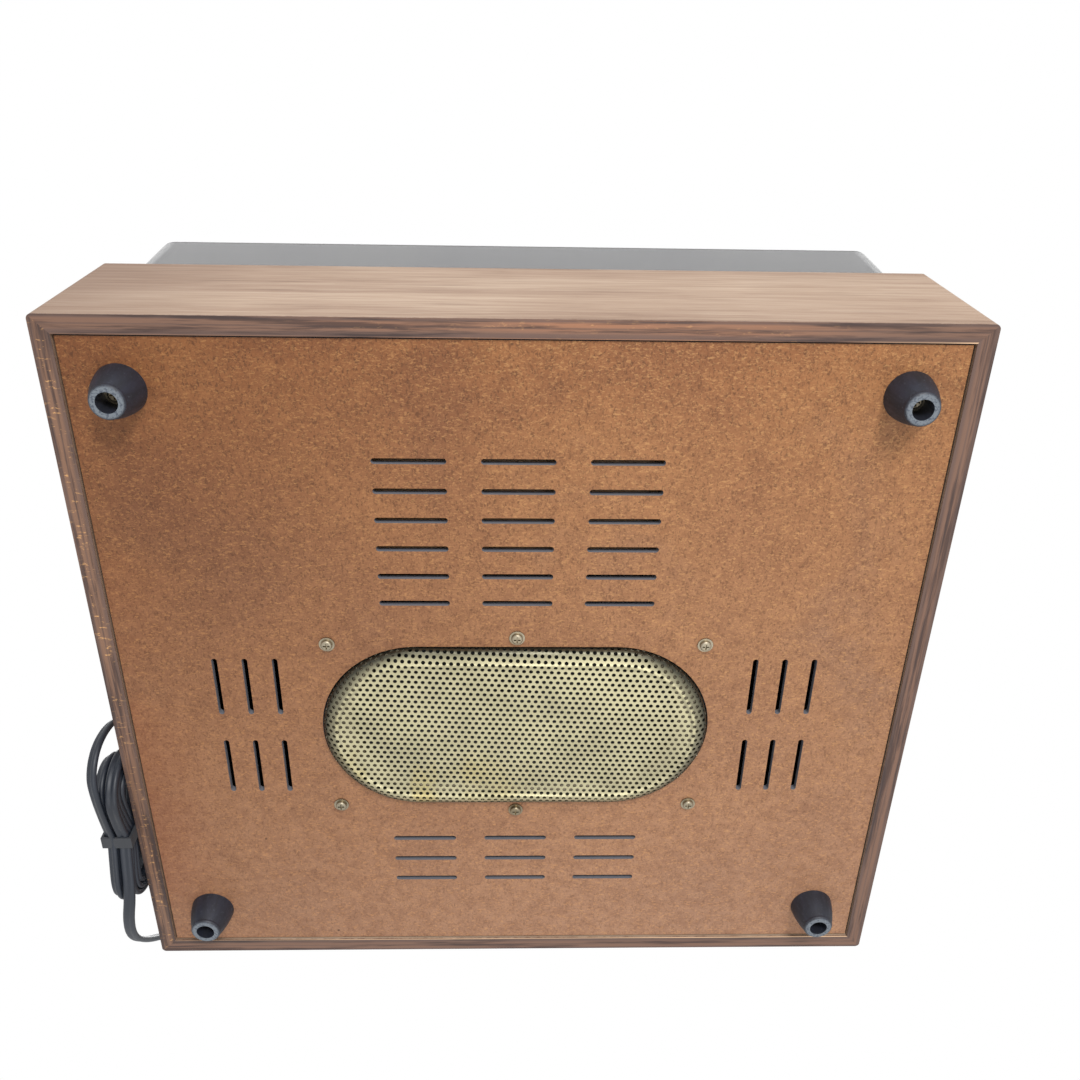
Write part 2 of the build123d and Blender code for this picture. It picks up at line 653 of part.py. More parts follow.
# ---- tuning scale ---------------------------------------------------------------------
with BuildPart() as scale_window:
    with BuildSketch(panel(-1.4, SCALE_AT)):
        RectangleRounded(SCALE_X, SCALE_Y, 3)
    extrude(amount=1.4)
save(scale_window, "scale_window")
SCALE_PLATE = -9.0
with BuildPart() as scale_plate:
    with BuildSketch(panel(SCALE_PLATE, SCALE_AT)):
        Rectangle(SCALE_X + 4, SCALE_Y + 6)
    extrude(amount=1)
    with BuildSketch(panel(SCALE_PLATE + 1, SCALE_AT)):
        Rectangle(SCALE_X + 4, SCALE_Y + 6)
        Rectangle(SCALE_X, SCALE_Y + 2, mode=Mode.SUBTRACT)
    extrude(amount=-SCALE_PLATE - 1 - SHELL)
save(scale_plate, "scale_plate")
POINTER_TRAVEL = 55.0
with BuildPart() as tuning_pointer:
    with BuildSketch(panel(SCALE_PLATE + 2.5, (SCALE_AT[0] - POINTER_TRAVEL, SCALE_AT[1]))):
        Rectangle(1.6, SCALE_Y - 4)
    extrude(amount=2)
save(tuning_pointer, "tuning_pointer")

# ---- slide switches and snooze bar ----------------------------------------------------------


def slide_switch(at):
    """A slider at the left end of its slot, with a flat behind the panel and a ribbed top."""
    with BuildPart() as piece:
        with BuildSketch(panel(-SHELL - 1.8, (at[0] - SWITCH_TRAVEL / 2, at[1]))):
            Rectangle(SWITCH_X + 8, SWITCH_Y + 5)
        extrude(amount=1.5)
        with BuildSketch(panel(-SHELL - 1.8, (at[0] - SWITCH_TRAVEL / 2, at[1]))):
            Rectangle(SWITCH_X - 0.6, SWITCH_Y - 0.6)
        extrude(amount=SHELL + 1.8 + 3)
        with BuildSketch(panel(2.2, (at[0] - SWITCH_TRAVEL / 2, at[1]))):
            with GridLocations(1.8, 0, 3, 1):
                Rectangle(0.7, SWITCH_Y)
        extrude(amount=1, mode=Mode.SUBTRACT)
    return piece


save(slide_switch(BAND_AT), "band_switch")
save(slide_switch(ALARM_SWITCH_AT), "alarm_switch")

with BuildPart() as snooze_bar:
    with BuildSketch(panel(-SHELL - 1.8, SNOOZE_AT)):
        Rectangle(SNOOZE_X + 4, SNOOZE_Y + 3)
    extrude(amount=1.5)
    with BuildSketch(panel(-SHELL - 1.8, SNOOZE_AT)):
        RectangleRounded(SNOOZE_X - 0.8, SNOOZE_Y - 0.8, 2)
    extrude(amount=SHELL + 1.8 + 4)
    fillet(snooze_bar.faces().sort_by(Axis.Z)[-1].edges(), 1.0)
save(snooze_bar, "snooze_bar")

# ---- electronics in the plinth ---------------------------------------------------------------
BOARD_Y = -95.0
BOARD_Z = 34.0
POST_X = 92.0
POST_Y = 34.0
with BuildPart() as board_posts:
    with BuildSketch(Plane((10, BOARD_Y, PANEL_OVER))):
        with GridLocations(2 * POST_X, 2 * POST_Y, 2, 2):
            Circle(4)
    extrude(amount=BOARD_Z - PANEL_OVER)
save(board_posts, "board_posts")
with BuildPart() as circuit_board:
    with BuildSketch(Plane((10, BOARD_Y, BOARD_Z))):
        Rectangle(200, 84)
    extrude(amount=1.6)
save(circuit_board, "circuit_board")
with BuildPart() as board_components:
    parts_z = BOARD_Z + 1.6
    with BuildSketch(Plane((10, BOARD_Y, parts_z))):
        with GridLocations(30, 26, 4, 2):
            Rectangle(9, 9)
    extrude(amount=12)
    with BuildSketch(Plane((25, BOARD_Y, parts_z))):
        with GridLocations(30, 26, 4, 2):
            Circle(4)
    extrude(amount=16)
save(board_components, "board_components")
with BuildPart() as transformer:
    with BuildSketch(Plane((-126, -90, PANEL_OVER))):
        Rectangle(42, 50)
    extrude(amount=34)
    chamfer(transformer.edges().filter_by(Axis.Z), 1.5)
    with BuildSketch(Plane((-126, -90, PANEL_OVER + 5))):
        RectangleRounded(56, 34, 4)
    extrude(amount=24)
save(transformer, "transformer")
ANTENNA_Z = 72.0
ANTENNA_Y = INSIDE_Y / 2 - 12
with BuildPart() as ferrite_antenna:
    with BuildSketch(Plane.YZ.offset(-70)):
        with Locations((ANTENNA_Y, ANTENNA_Z)):
            Circle(5)
    extrude(amount=140)
    with BuildSketch(Plane.YZ.offset(-20)):
        with Locations((ANTENNA_Y, ANTENNA_Z)):
            Circle(7)
    extrude(amount=40)
    for clip_x in (-55, 49):
        with BuildSketch(Plane.YZ.offset(clip_x)):
            with Locations((ANTENNA_Y + 2, ANTENNA_Z)):
                Rectangle(20, 16)
        extrude(amount=6)
save(ferrite_antenna, "ferrite_antenna")

# ---- smoked cover and its hinges -----------------------------------------------------------
COVER_UNDER = PLINTH_TOP + COVER_LIFT
NOTCH_HEIGHT = 13.0


def cover_body(shrink, height):
    """The cover's flaring body, smaller all round by shrink."""
    with BuildPart() as body:
        with BuildSketch(Plane.XY.offset(COVER_UNDER)):
            RectangleRounded(COVER_X - 2 * shrink, COVER_Y - 2 * shrink, COVER_CORNER - shrink)
        extrude(amount=height, taper=-COVER_FLARE)
        fillet(body.faces().sort_by(Axis.Z)[-1].edges(), 3.5 - shrink)
    return body.part


cover_outside = cover_body(0, COVER_HEIGHT)
cover_inside = cover_body(COVER_WALL, COVER_HEIGHT - COVER_WALL)
with BuildPart() as dust_cover:
    add(cover_outside)
    add(cover_inside, mode=Mode.SUBTRACT)
    with BuildSketch(Plane.XZ.offset(-COVER_Y / 2 - 8)):
        with Locations((-HINGE_X, COVER_UNDER), (HINGE_X, COVER_UNDER)):
            Rectangle(HINGE_WIDTH + 5, 2 * NOTCH_HEIGHT)
    extrude(amount=16, mode=Mode.SUBTRACT)
save(dust_cover, "dust_cover")

LEAF_TOP = 24.0
LEAF_THICK = 1.5
KNUCKLE_MID = 12.0
KNUCKLE_SIDE = 8.0
with BuildPart() as hinge_brackets:
    for hinge_x in (-HINGE_X, HINGE_X):
        with BuildSketch(Plane.XY.offset(PLINTH_TOP)):
            with Locations((hinge_x, HINGE_Y - 12)):
                Rectangle(HINGE_WIDTH, 18)
        extrude(amount=1.5)
        for side in (-1, 1):
            start = hinge_x + side * (KNUCKLE_MID + KNUCKLE_SIDE + 0.4) / 2 - KNUCKLE_SIDE / 2
            with BuildSketch(Plane.YZ.offset(start)):
                with Locations((HINGE_Y, HINGE_Z)):
                    Circle(KNUCKLE)
                Polygon(
                    (HINGE_Y - 7, PLINTH_TOP),
                    (HINGE_Y - 3.2, PLINTH_TOP),
                    (HINGE_Y - 0.5, HINGE_Z - 2.6),
                    (HINGE_Y - 2.6, HINGE_Z),
                    align=None,
                )
                with Locations((HINGE_Y, HINGE_Z)):
                    Circle(PIN, mode=Mode.SUBTRACT)
            extrude(amount=KNUCKLE_SIDE)
save(hinge_brackets, "hinge_brackets")

with BuildPart() as hinge_pins:
    for hinge_x in (-HINGE_X, HINGE_X):
        with BuildSketch(Plane.YZ.offset(hinge_x - HINGE_WIDTH / 2)):
            with Locations((HINGE_Y, HINGE_Z)):
                Circle(PIN)
        extrude(amount=HINGE_WIDTH)
save(hinge_pins, "hinge_pins")

leaf_lean = math.tan(math.radians(COVER_FLARE))
with BuildPart() as cover_leaves:
    for hinge_x in (-HINGE_X, HINGE_X):
        with BuildSketch(Plane.YZ.offset(hinge_x - KNUCKLE_MID / 2)):
            wall_low = COVER_Y / 2 - COVER_WALL + NOTCH_HEIGHT * leaf_lean
            wall_high = COVER_Y / 2 - COVER_WALL + LEAF_TOP * leaf_lean
            Polygon(
                (wall_low, COVER_UNDER + NOTCH_HEIGHT),
                (wall_high, COVER_UNDER + LEAF_TOP),
                (wall_high - LEAF_THICK, COVER_UNDER + LEAF_TOP),
                (wall_low - LEAF_THICK, COVER_UNDER + NOTCH_HEIGHT),
                (HINGE_Y - KNUCKLE + 0.2, HINGE_Z),
                (HINGE_Y, HINGE_Z + KNUCKLE - 0.2),
                align=None,
            )
            with Locations((HINGE_Y, HINGE_Z)):
                Circle(KNUCKLE)
                Circle(PIN + 0.06, mode=Mode.SUBTRACT)
        extrude(amount=KNUCKLE_MID)
save(cover_leaves, "cover_leaves")

# ---- mains lead: gland, lead, tied hank, and plug -----------------------------------------
EXIT_X, EXIT_Z = LEAD_EXIT
WALL_Y = DEPTH / 2
with BuildPart() as strain_relief:
    with BuildSketch(Plane.XZ.offset(-WALL_Y + BOARD)):
        with Locations(LEAD_EXIT):
            Circle(LEAD)
    extrude(amount=-BOARD)
    with BuildSketch(Plane.XZ.offset(-WALL_Y)):
        with Locations(LEAD_EXIT):
            Circle(LEAD + 2)
    extrude(amount=-2)
    with BuildSketch(Plane.XZ.offset(-WALL_Y - 2)):
        with Locations(LEAD_EXIT):
            Circle(LEAD)
    extrude(amount=-RELIEF, taper=4.5)
save(strain_relief, "strain_relief")

lead_start = WALL_Y + 2 + RELIEF
FLOOR = LEAD / 2
HANK_END = HANK_HALF + 8
lead_route = [
    (EXIT_X, lead_start, EXIT_Z),
    (EXIT_X - 2, lead_start + 14, EXIT_Z + 1.5),
    (EXIT_X - 15, lead_start + 24, EXIT_Z + 2),
    (EXIT_X - 34, lead_start + 25, EXIT_Z - 2),
    (EXIT_X - 50, lead_start + 15, EXIT_Z - 11),
    (EXIT_X - 57, lead_start - 2, EXIT_Z - 25),
    (EXIT_X - 59, lead_start - 19, EXIT_Z - 43),
    (EXIT_X - 58, lead_start - 37, FLOOR + 6),
    (EXIT_X - 55, lead_start - 57, FLOOR),
    (HANK_X + 2.9, HANK_Y + HANK_END, FLOOR),
]
PLUG_X = -182.0
PLUG_REAR = 70.0
PLUG_NECK = 22.0
PLUG_BODY = 8.0
PLUG_LEVEL = 48.7
tail_route = [
    (HANK_X - 2.9, HANK_Y - HANK_END, FLOOR),
    (HANK_X - 2.9, HANK_Y - HANK_END - 12, FLOOR),
    (HANK_X - 2.6, HANK_Y - HANK_END - 21, FLOOR + 11),
    (HANK_X - 1.8, HANK_Y - HANK_END - 21, FLOOR + 28),
    (HANK_X - 0.8, HANK_Y - HANK_END - 12, FLOOR + 42),
    (PLUG_X, PLUG_REAR - 14, PLUG_LEVEL),
    (PLUG_X, PLUG_REAR, PLUG_LEVEL),
]


def bend_radii(route):
    """The largest tangent arc at each inner point that its two runs allow."""
    radii = []
    for before, at, after in zip(route, route[1:], route[2:]):
        first = Vector(*at) - Vector(*before)
        second = Vector(*after) - Vector(*at)
        half_turn = math.radians(first.get_angle(second)) / 2
        radii.append(0.45 * min(first.length, second.length) / math.tan(half_turn))
    return radii


def lead_tube(route, name):
    """A round tube on straight runs joined by tangent arcs; its volume is compared with its length."""
    radii = bend_radii(route)
    with BuildLine() as path:
        FilletPolyline(*route, radius=radii)
    line = path.wires()[0]
    with BuildPart() as tube:
        with BuildSketch(Plane(origin=line @ 0, z_dir=line % 0)):
            Circle(LEAD / 2)
        sweep(path=line)
    expected = math.pi * LEAD**2 / 4 * line.length
    print(name, "length", round(line.length, 1), "radii", [round(r, 1) for r in radii])
    print(name, "volume over section times length", round(tube.part.volume / expected, 4))
    save(tube, name)


lead_tube(lead_route, "power_lead")
lead_tube(tail_route, "plug_lead")

with BuildPart() as cord_hank:
    with BuildSketch(Plane.YZ.offset(HANK_X - HANK_THICK / 2)):
        with Locations((HANK_Y - HANK_HALF, HANK_LOOP), (HANK_Y + HANK_HALF, HANK_LOOP)):
            Circle(HANK_LOOP)
        for end in (-1, 1):
            Polygon(
                (HANK_Y, HANK_LOOP - HANK_WAIST),
                (HANK_Y, HANK_LOOP + HANK_WAIST),
                (HANK_Y + end * (HANK_HALF - 6), 2 * HANK_LOOP - 1),
                (HANK_Y + end * (HANK_HALF - 6), 1),
                align=None,
            )
    extrude(amount=HANK_THICK)
save(cord_hank, "cord_hank")

TIE = 1.0
with BuildPart() as cord_tie:
    with BuildSketch(Plane.XZ.offset(-HANK_Y + 3)):
        with Locations((HANK_X, HANK_LOOP)):
            Rectangle(HANK_THICK + 2 * TIE, 2 * (HANK_WAIST + TIE))
            Rectangle(HANK_THICK, 2 * HANK_WAIST, mode=Mode.SUBTRACT)
    extrude(amount=-6)
save(cord_tie, "cord_tie")

with BuildPart() as plug:
    with BuildSketch(Plane.XZ.offset(-PLUG_REAR)):
        with Locations((PLUG_X, PLUG_LEVEL)):
            Rectangle(9, 10)
    with BuildSketch(Plane.XZ.offset(-PLUG_REAR - PLUG_NECK)):
        with Locations((PLUG_X, PLUG_LEVEL)):
            Rectangle(12.6, 22)
    loft()
    with BuildSketch(Plane.XZ.offset(-PLUG_REAR - PLUG_NECK)):
        with Locations((PLUG_X, PLUG_LEVEL)):
            Rectangle(12.6, 22)
    extrude(amount=-PLUG_BODY)
    fillet(plug.edges().filter_by(Axis.Y), 2)
    with BuildSketch(Plane.XZ.offset(-PLUG_REAR - PLUG_NECK - PLUG_BODY)):
        with Locations((PLUG_X, PLUG_LEVEL)):
            with GridLocations(0, 12.7, 1, 2):
                Rectangle(6.3, 1.5)
    extrude(amount=-16)
save(plug, "plug")
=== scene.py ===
import json
import math

import bmesh
import bpy
from mathutils import Matrix, Vector


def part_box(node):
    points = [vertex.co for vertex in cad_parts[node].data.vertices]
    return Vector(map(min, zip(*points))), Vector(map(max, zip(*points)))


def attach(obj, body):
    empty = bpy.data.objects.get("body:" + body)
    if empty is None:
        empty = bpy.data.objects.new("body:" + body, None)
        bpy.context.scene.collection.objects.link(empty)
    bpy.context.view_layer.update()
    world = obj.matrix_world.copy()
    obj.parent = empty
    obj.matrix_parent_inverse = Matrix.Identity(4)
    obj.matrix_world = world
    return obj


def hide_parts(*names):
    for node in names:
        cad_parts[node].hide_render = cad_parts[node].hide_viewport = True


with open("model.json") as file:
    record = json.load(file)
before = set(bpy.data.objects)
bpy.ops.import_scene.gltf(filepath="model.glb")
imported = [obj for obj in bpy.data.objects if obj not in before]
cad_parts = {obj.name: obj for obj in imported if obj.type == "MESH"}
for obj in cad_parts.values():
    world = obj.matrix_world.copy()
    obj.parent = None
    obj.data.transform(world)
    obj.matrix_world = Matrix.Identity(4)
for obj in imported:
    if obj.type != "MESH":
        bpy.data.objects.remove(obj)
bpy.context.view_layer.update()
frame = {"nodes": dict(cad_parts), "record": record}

# The looks of a flat walnut alarm clock radio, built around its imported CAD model.
# Metres: +X is to the right, +Y to the rear and +Z up, and the feet stand on Z = 0.
nodes = frame["nodes"]
joints = {j["name"]: j for j in frame["record"]["behaviour"]["joints"]}
MM = 0.001

# The cabinet's outline and levels, from the CAD nodes.
front_low, front_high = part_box("front_board")
left_low, left_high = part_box("left_board")
HALF_X = front_high[0]
HALF_Y = -front_low[1]
UNDERSIDE = front_low[2]
BOARD = left_high[0] - left_low[0]
GRILLE_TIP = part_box("speaker_grille")[0][2]

# The sloping panel's directions, from the clock's own joint.
CLOCK = Vector(joints["minute_turn"]["pos_m"])
OUT = -Vector(joints["minute_turn"]["axis"]).normalized()
ACROSS = Vector((1, 0, 0))
UP_SLOPE = OUT.cross(ACROSS)

# ---- camera ---------------------------------------------------------------------------
# The view is from in front and below, at the photograph's angle and distance.
CAMERA_PLACE = Vector((-0.0037, -0.2642, -0.3514))
CAMERA_RIGHT = Vector((0.99953, -0.01835, -0.02436))
CAMERA_UP = Vector((-0.00485, -0.88426, 0.46698))
LENS = 34.51

camera_data = bpy.data.cameras.new("camera")
camera_data.lens = LENS
camera_data.sensor_width = 36
camera_data.clip_start = 0.01
camera = bpy.data.objects.new("camera", camera_data)
right = CAMERA_RIGHT.normalized()
up = (CAMERA_UP - right * CAMERA_UP.dot(right)).normalized()
turn = Matrix((right, up, right.cross(up))).transposed()
camera.matrix_world = Matrix.Translation(CAMERA_PLACE) @ turn.to_4x4()
bpy.context.scene.collection.objects.link(camera)
bpy.context.scene.camera = camera


# ---- small tools ------------------------------------------------------------------------
def srgb(r, g, b, a=1.0):
    """A colour given as on a screen, 0 to 255, as the shader's linear values."""
    linear = [(c / 255 / 12.92) if c <= 10 else ((c / 255 + 0.055) / 1.055) ** 2.4 for c in (r, g, b)]
    return (*linear, a)


def add_mesh(name, bm, material, body, smooth=True, replaces=()):
    """Turns a bmesh into a piece that rides on a body."""
    mesh = bpy.data.meshes.new(name)
    bmesh.ops.recalc_face_normals(bm, faces=bm.faces)
    bm.to_mesh(mesh)
    bm.free()
    mesh.materials.append(material)
    for polygon in mesh.polygons:
        polygon.use_smooth = smooth
    piece = bpy.data.objects.new(name, mesh)
    bpy.context.scene.collection.objects.link(piece)
    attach(piece, body)
    if replaces:
        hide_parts(*replaces)
    return piece


class Shade:
    """A node material, with short calls for the nodes that the materials below use."""

    def __init__(self, name, **values):
        self.material = bpy.data.materials.new(name)
        self.material.use_nodes = True
        self.tree = self.material.node_tree
        self.shader = self.tree.nodes["Principled BSDF"]
        self.place = self.tree.nodes.new("ShaderNodeTexCoord").outputs["Object"]
        for socket, value in values.items():
            self.shader.inputs[socket.replace("_", " ")].default_value = value

    def node(self, kind, **inputs):
        made = self.tree.nodes.new(kind)
        for key, value in inputs.items():
            self.feed(made.inputs[key.replace("_", " ")], value)
        return made

    def feed(self, socket, value):
        if isinstance(value, bpy.types.NodeSocket):
            self.tree.links.new(value, socket)
        else:
            socket.default_value = value

    def scaled(self, x, y, z, shift=(0, 0, 0)):
        made = self.node("ShaderNodeMapping", Vector=self.place, Scale=(x, y, z), Location=shift)
        return made.outputs["Vector"]

    def noise(self, vector, scale, detail=3.0, roughness=0.55, distortion=0.0):
        made = self.node(
            "ShaderNodeTexNoise", Vector=vector, Scale=scale, Detail=detail, Roughness=roughness,
            Distortion=distortion,
        )
        return made.outputs["Fac"]

    def spots(self, vector, scale):
        return self.node("ShaderNodeTexVoronoi", Vector=vector, Scale=scale).outputs["Distance"]

    def ramp(self, factor, *stops):
        made = self.node("ShaderNodeValToRGB", Fac=factor)
        elements = made.color_ramp.elements
        while len(elements) < len(stops):
            elements.new(0.5)
        for element, (at, colour) in zip(elements, stops):
            element.position = at
            element.color = colour if isinstance(colour, tuple) else (colour, colour, colour, 1)
        return made.outputs["Color"]

    def mix(self, factor, first, second, blend="MIX"):
        made = self.tree.nodes.new("ShaderNodeMix")
        made.data_type = "RGBA"
        made.blend_type = blend
        for index, value in ((0, factor), (6, first), (7, second)):
            self.feed(made.inputs[index], value)
        return made.outputs[2]

    def math(self, operation, first, second=0.0, clamp=False):
        made = self.tree.nodes.new("ShaderNodeMath")
        made.operation = operation
        made.use_clamp = clamp
        self.feed(made.inputs[0], first)
        self.feed(made.inputs[1], second)
        return made.outputs[0]

    def split(self, vector):
        return self.node("ShaderNodeSeparateXYZ", Vector=vector).outputs

    def between(self, value, low, high):
        """0 below low and 1 above high, straight between them."""
        made = self.node("ShaderNodeMapRange", Value=value)
        made.inputs["From Min"].default_value = low
        made.inputs["From Max"].default_value = high
        return made.outputs["Result"]

    def bump(self, height, strength, distance, under=None):
        made = self.node("ShaderNodeBump", Height=height, Strength=strength, Distance=distance)
        if under is not None:
            self.feed(made.inputs["Normal"], under)
        self.feed(self.shader.inputs["Normal"], made.outputs["Normal"])
        return made.outputs["Normal"]

    def colour(self, value):
        self.feed(self.shader.inputs["Base Color"], value)

    def rough(self, value):
        self.feed(self.shader.inputs["Roughness"], value)


# ---- materials --------------------------------------------------------------------------
def walnut(name, along_x):
    """Veneer with its grain along the board, and ply layers on the board's lower edge."""
    s = Shade(name, Specular_IOR_Level=0.35)
    fine, long = 1.0, 0.045
    grain_place = s.scaled(long, fine, fine) if along_x else s.scaled(fine, long, fine)
    wavy = s.noise(grain_place, 30, 4, 0.6, 0.6)
    streaks = s.noise(grain_place, 420, 5, 0.7, 0.3)
    pores = s.noise(s.scaled(0.02, 1, 1) if along_x else s.scaled(1, 0.02, 1), 900, 2, 0.6)
    clouds = s.noise(s.place, 9, 3, 0.5)
    tone = s.math("ADD", s.math("MULTIPLY", wavy, 0.38), s.math("MULTIPLY", streaks, 0.62))
    face = s.ramp(
        tone,
        (0.34, srgb(106, 85, 70)),
        (0.44, srgb(146, 120, 101)),
        (0.54, srgb(164, 140, 119)),
        (0.68, srgb(182, 160, 139)),
    )
    cloudy = s.math("MULTIPLY", s.between(clouds, 0.40, 0.70), 0.5)
    face = s.mix(cloudy, face, srgb(206, 188, 172), "MULTIPLY")
    face = s.mix(0.35, face, s.ramp(wavy, (0.35, srgb(136, 110, 91)), (0.65, srgb(172, 150, 130))))
    face = s.mix(s.math("MULTIPLY", s.between(pores, 0.60, 0.72), 0.55), face, srgb(84, 58, 42))
    x, y, z = s.split(s.place)
    # Painted shade: the boards darken towards the left end, where less light falls.
    left_end_shade = s.between(x, -HALF_X + 70 * MM, -HALF_X)
    face = s.mix(s.math("MULTIPLY", left_end_shade, 0.6), face, srgb(112, 86, 69))
    # Layers of the lower edge, by distance from the cabinet's outside.
    to_side = s.math("SUBTRACT", HALF_X, s.math("ABSOLUTE", x))
    to_front = s.math("SUBTRACT", HALF_Y, s.math("ABSOLUTE", y))
    depth = to_front if along_x else to_side
    waver = s.math("MULTIPLY", s.math("SUBTRACT", s.noise(grain_place, 60, 4, 0.6), 0.5), 1.6 * MM)
    depth = s.math("DIVIDE", s.math("ADD", depth, waver), BOARD)
    worn = s.between(s.noise(grain_place, 14, 5, 0.65), 0.50, 0.62)
    if along_x:
        worn = s.math("MULTIPLY", worn, s.between(s.math("ABSOLUTE", x), 130 * MM, 50 * MM))
    edge_grain = s.noise(grain_place, 330, 4, 0.7)
    core = s.mix(worn, srgb(108, 80, 65), srgb(172, 114, 76) if along_x else srgb(116, 86, 67))
    dark_grain = s.math("MULTIPLY", s.between(edge_grain, 0.48, 0.60), 0.8)
    core = s.mix(dark_grain, core, srgb(54, 38, 34))
    chips = s.math("MULTIPLY", s.between(s.noise(s.scaled(0.4, 1, 1), 700, 3, 0.7), 0.60, 0.66), worn)
    core = s.mix(s.math("MULTIPLY", chips, 0.7), core, srgb(216, 164, 104))
    layers = s.ramp(
        depth, (0.0, 0.30), (0.09, 0.16), (0.20, 1.0), (0.38, 1.0), (0.45, 0.35), (0.52, 1.0), (0.66, 0.9),
        (0.78, 0.3), (0.93, 0.15), (0.985, 0.9),
    )
    outer = s.mix(s.between(edge_grain, 0.42, 0.60), srgb(84, 66, 60), srgb(52, 40, 38))
    edge = s.mix(layers, outer, core)
    chipped = s.between(s.noise(grain_place, 40, 4), 0.47, 0.53)
    pale = s.math("MULTIPLY", s.between(depth, 0.93, 0.975), chipped)
    edge = s.mix(pale, edge, srgb(210, 174, 138))
    normal = s.split(s.tree.nodes.new("ShaderNodeNewGeometry").outputs["Normal"])
    under = s.between(s.math("MULTIPLY", normal[2], -1.0), 0.6, 0.8)
    ragged = s.math("SUBTRACT", s.noise(s.place, 260, 4, 0.7), 0.5)
    level = s.math("ADD", z, s.math("MULTIPLY", ragged, 2.6 * MM))
    rubbed = s.between(s.math("MULTIPLY", level, -1.0), -UNDERSIDE - 0.8 * MM, -UNDERSIDE - 0.2 * MM)
    face = s.mix(s.math("MULTIPLY", rubbed, 0.7), face, srgb(92, 62, 48))
    s.colour(s.mix(under, face, edge))
    s.rough(s.ramp(streaks, (0.3, 0.62), (0.7, 0.46)))
    rise = s.math("ADD", s.math("MULTIPLY", streaks, 0.6), s.math("MULTIPLY", pores, 0.5))
    s.bump(rise, 0.35, 0.25 * MM)
    return s.material


def hardboard():
    """Smooth brown hardboard: fibres, flecks, blotches and a few dark specks, with a painted sheen towards
    the rear and painted shade towards the left and front.
    """
    s = Shade("hardboard", Specular_IOR_Level=0.25)
    blotches = s.noise(s.place, 11, 5, 0.6, 0.4)
    mottle = s.noise(s.place, 150, 3, 0.65, 0.5)
    fibre_a = s.noise(s.scaled(0.5, 1, 1), 1350, 2, 0.6, 0.8)
    fibre_b = s.noise(s.scaled(1, 0.55, 1, (5, 2, 0)), 1150, 2, 0.6, 0.8)
    strand = s.noise(s.scaled(0.3, 1, 1, (1, 3, 0)), 700, 2, 0.6, 2.5)
    x, y, _ = s.split(s.place)
    rearward = s.between(y, -HALF_Y, HALF_Y)
    base = s.ramp(
        blotches,
        (0.30, srgb(116, 70, 46)),
        (0.45, srgb(134, 84, 53)),
        (0.58, srgb(143, 92, 58)),
        (0.72, srgb(128, 84, 60)),
    )
    # Painted sheen: the panel turns lighter and pinker towards the rear, where the light glances off it.
    base = s.mix(s.math("MULTIPLY", rearward, 0.75), base, srgb(150, 116, 95))
    base = s.mix(s.math("MULTIPLY", s.between(mottle, 0.40, 0.62), 0.28), base, srgb(96, 56, 36))
    fleck = s.math("SUBTRACT", 0.62, s.math("MULTIPLY", rearward, 0.26))
    base = s.mix(s.math("MULTIPLY", s.between(fibre_b, 0.50, 0.66), fleck), base, srgb(74, 44, 28))
    base = s.mix(s.math("MULTIPLY", s.between(fibre_a, 0.53, 0.68), 0.46), base, srgb(186, 134, 88))
    base = s.mix(s.math("MULTIPLY", s.between(strand, 0.66, 0.74), 0.32), base, srgb(200, 150, 102))
    specks = s.between(s.spots(s.scaled(1, 1, 1, (1, 4, 0)), 60), 0.05, 0.02)
    rare = s.between(s.noise(s.place, 90, 1), 0.58, 0.62)
    base = s.mix(s.math("MULTIPLY", specks, s.math("MULTIPLY", rare, 0.8)), base, srgb(44, 26, 20))
    left_margin = s.between(x, -HALF_X + 40 * MM, -HALF_X + 8 * MM)
    at_side = s.math("MULTIPLY", left_margin, s.between(blotches, 0.42, 0.6))
    base = s.mix(s.math("MULTIPLY", at_side, 0.3), base, srgb(122, 60, 36))
    # Painted shade: the panel is darker towards the left and the front, where less light falls.
    frontward = s.math("SUBTRACT", 1.0, s.math("MULTIPLY", rearward, 0.6))
    left_front_shade = s.math("MULTIPLY", s.between(x, 45 * MM, -135 * MM), frontward)
    base = s.mix(left_front_shade, base, (0.66, 0.58, 0.50, 1), "MULTIPLY")
    warmth = s.math("SUBTRACT", 1.0, s.math("MULTIPLY", rearward, 0.75))
    base = s.mix(warmth, base, (0.95, 1.03, 0.93, 1), "MULTIPLY")
    # Cut edges of slots and openings are grey and matt.
    normal = s.split(s.tree.nodes.new("ShaderNodeNewGeometry").outputs["Normal"])
    cut = s.between(s.math("ABSOLUTE", normal[2]), 0.7, 0.4)
    s.colour(s.mix(cut, base, srgb(104, 104, 110)))
    s.rough(s.ramp(fibre_a, (0.3, 0.72), (0.7, 0.5)))
    first = s.bump(s.math("ADD", fibre_a, fibre_b), 0.3, 0.12 * MM)
    s.bump(mottle, 0.2, 0.3 * MM, first)
    return s.material


def foot_rubber():
    """Blue-black moulded rubber, scuffed pale round its tip."""
    s = Shade("foot_rubber", Specular_IOR_Level=0.45)
    dust = s.noise(s.place, 900, 4, 0.65)
    smear = s.noise(s.scaled(1, 1, 0.25), 300, 4, 0.6)
    z = s.split(s.place)[2]
    ring = s.between(s.math("ADD", z, s.math("MULTIPLY", dust, 1.6 * MM)), 1.15 * MM, 0.75 * MM)
    base = s.ramp(smear, (0.35, srgb(21, 23, 31)), (0.65, srgb(33, 36, 47)))
    base = s.mix(s.math("MULTIPLY", s.between(dust, 0.6, 0.72), 0.2), base, srgb(104, 110, 120))
    pale = s.ramp(dust, (0.42, srgb(62, 68, 78)), (0.64, srgb(140, 148, 154)))
    s.colour(s.mix(ring, base, pale))
    s.rough(s.ramp(smear, (0.3, 0.62), (0.7, 0.44)))
    s.bump(dust, 0.3, 0.12 * MM)
    return s.material


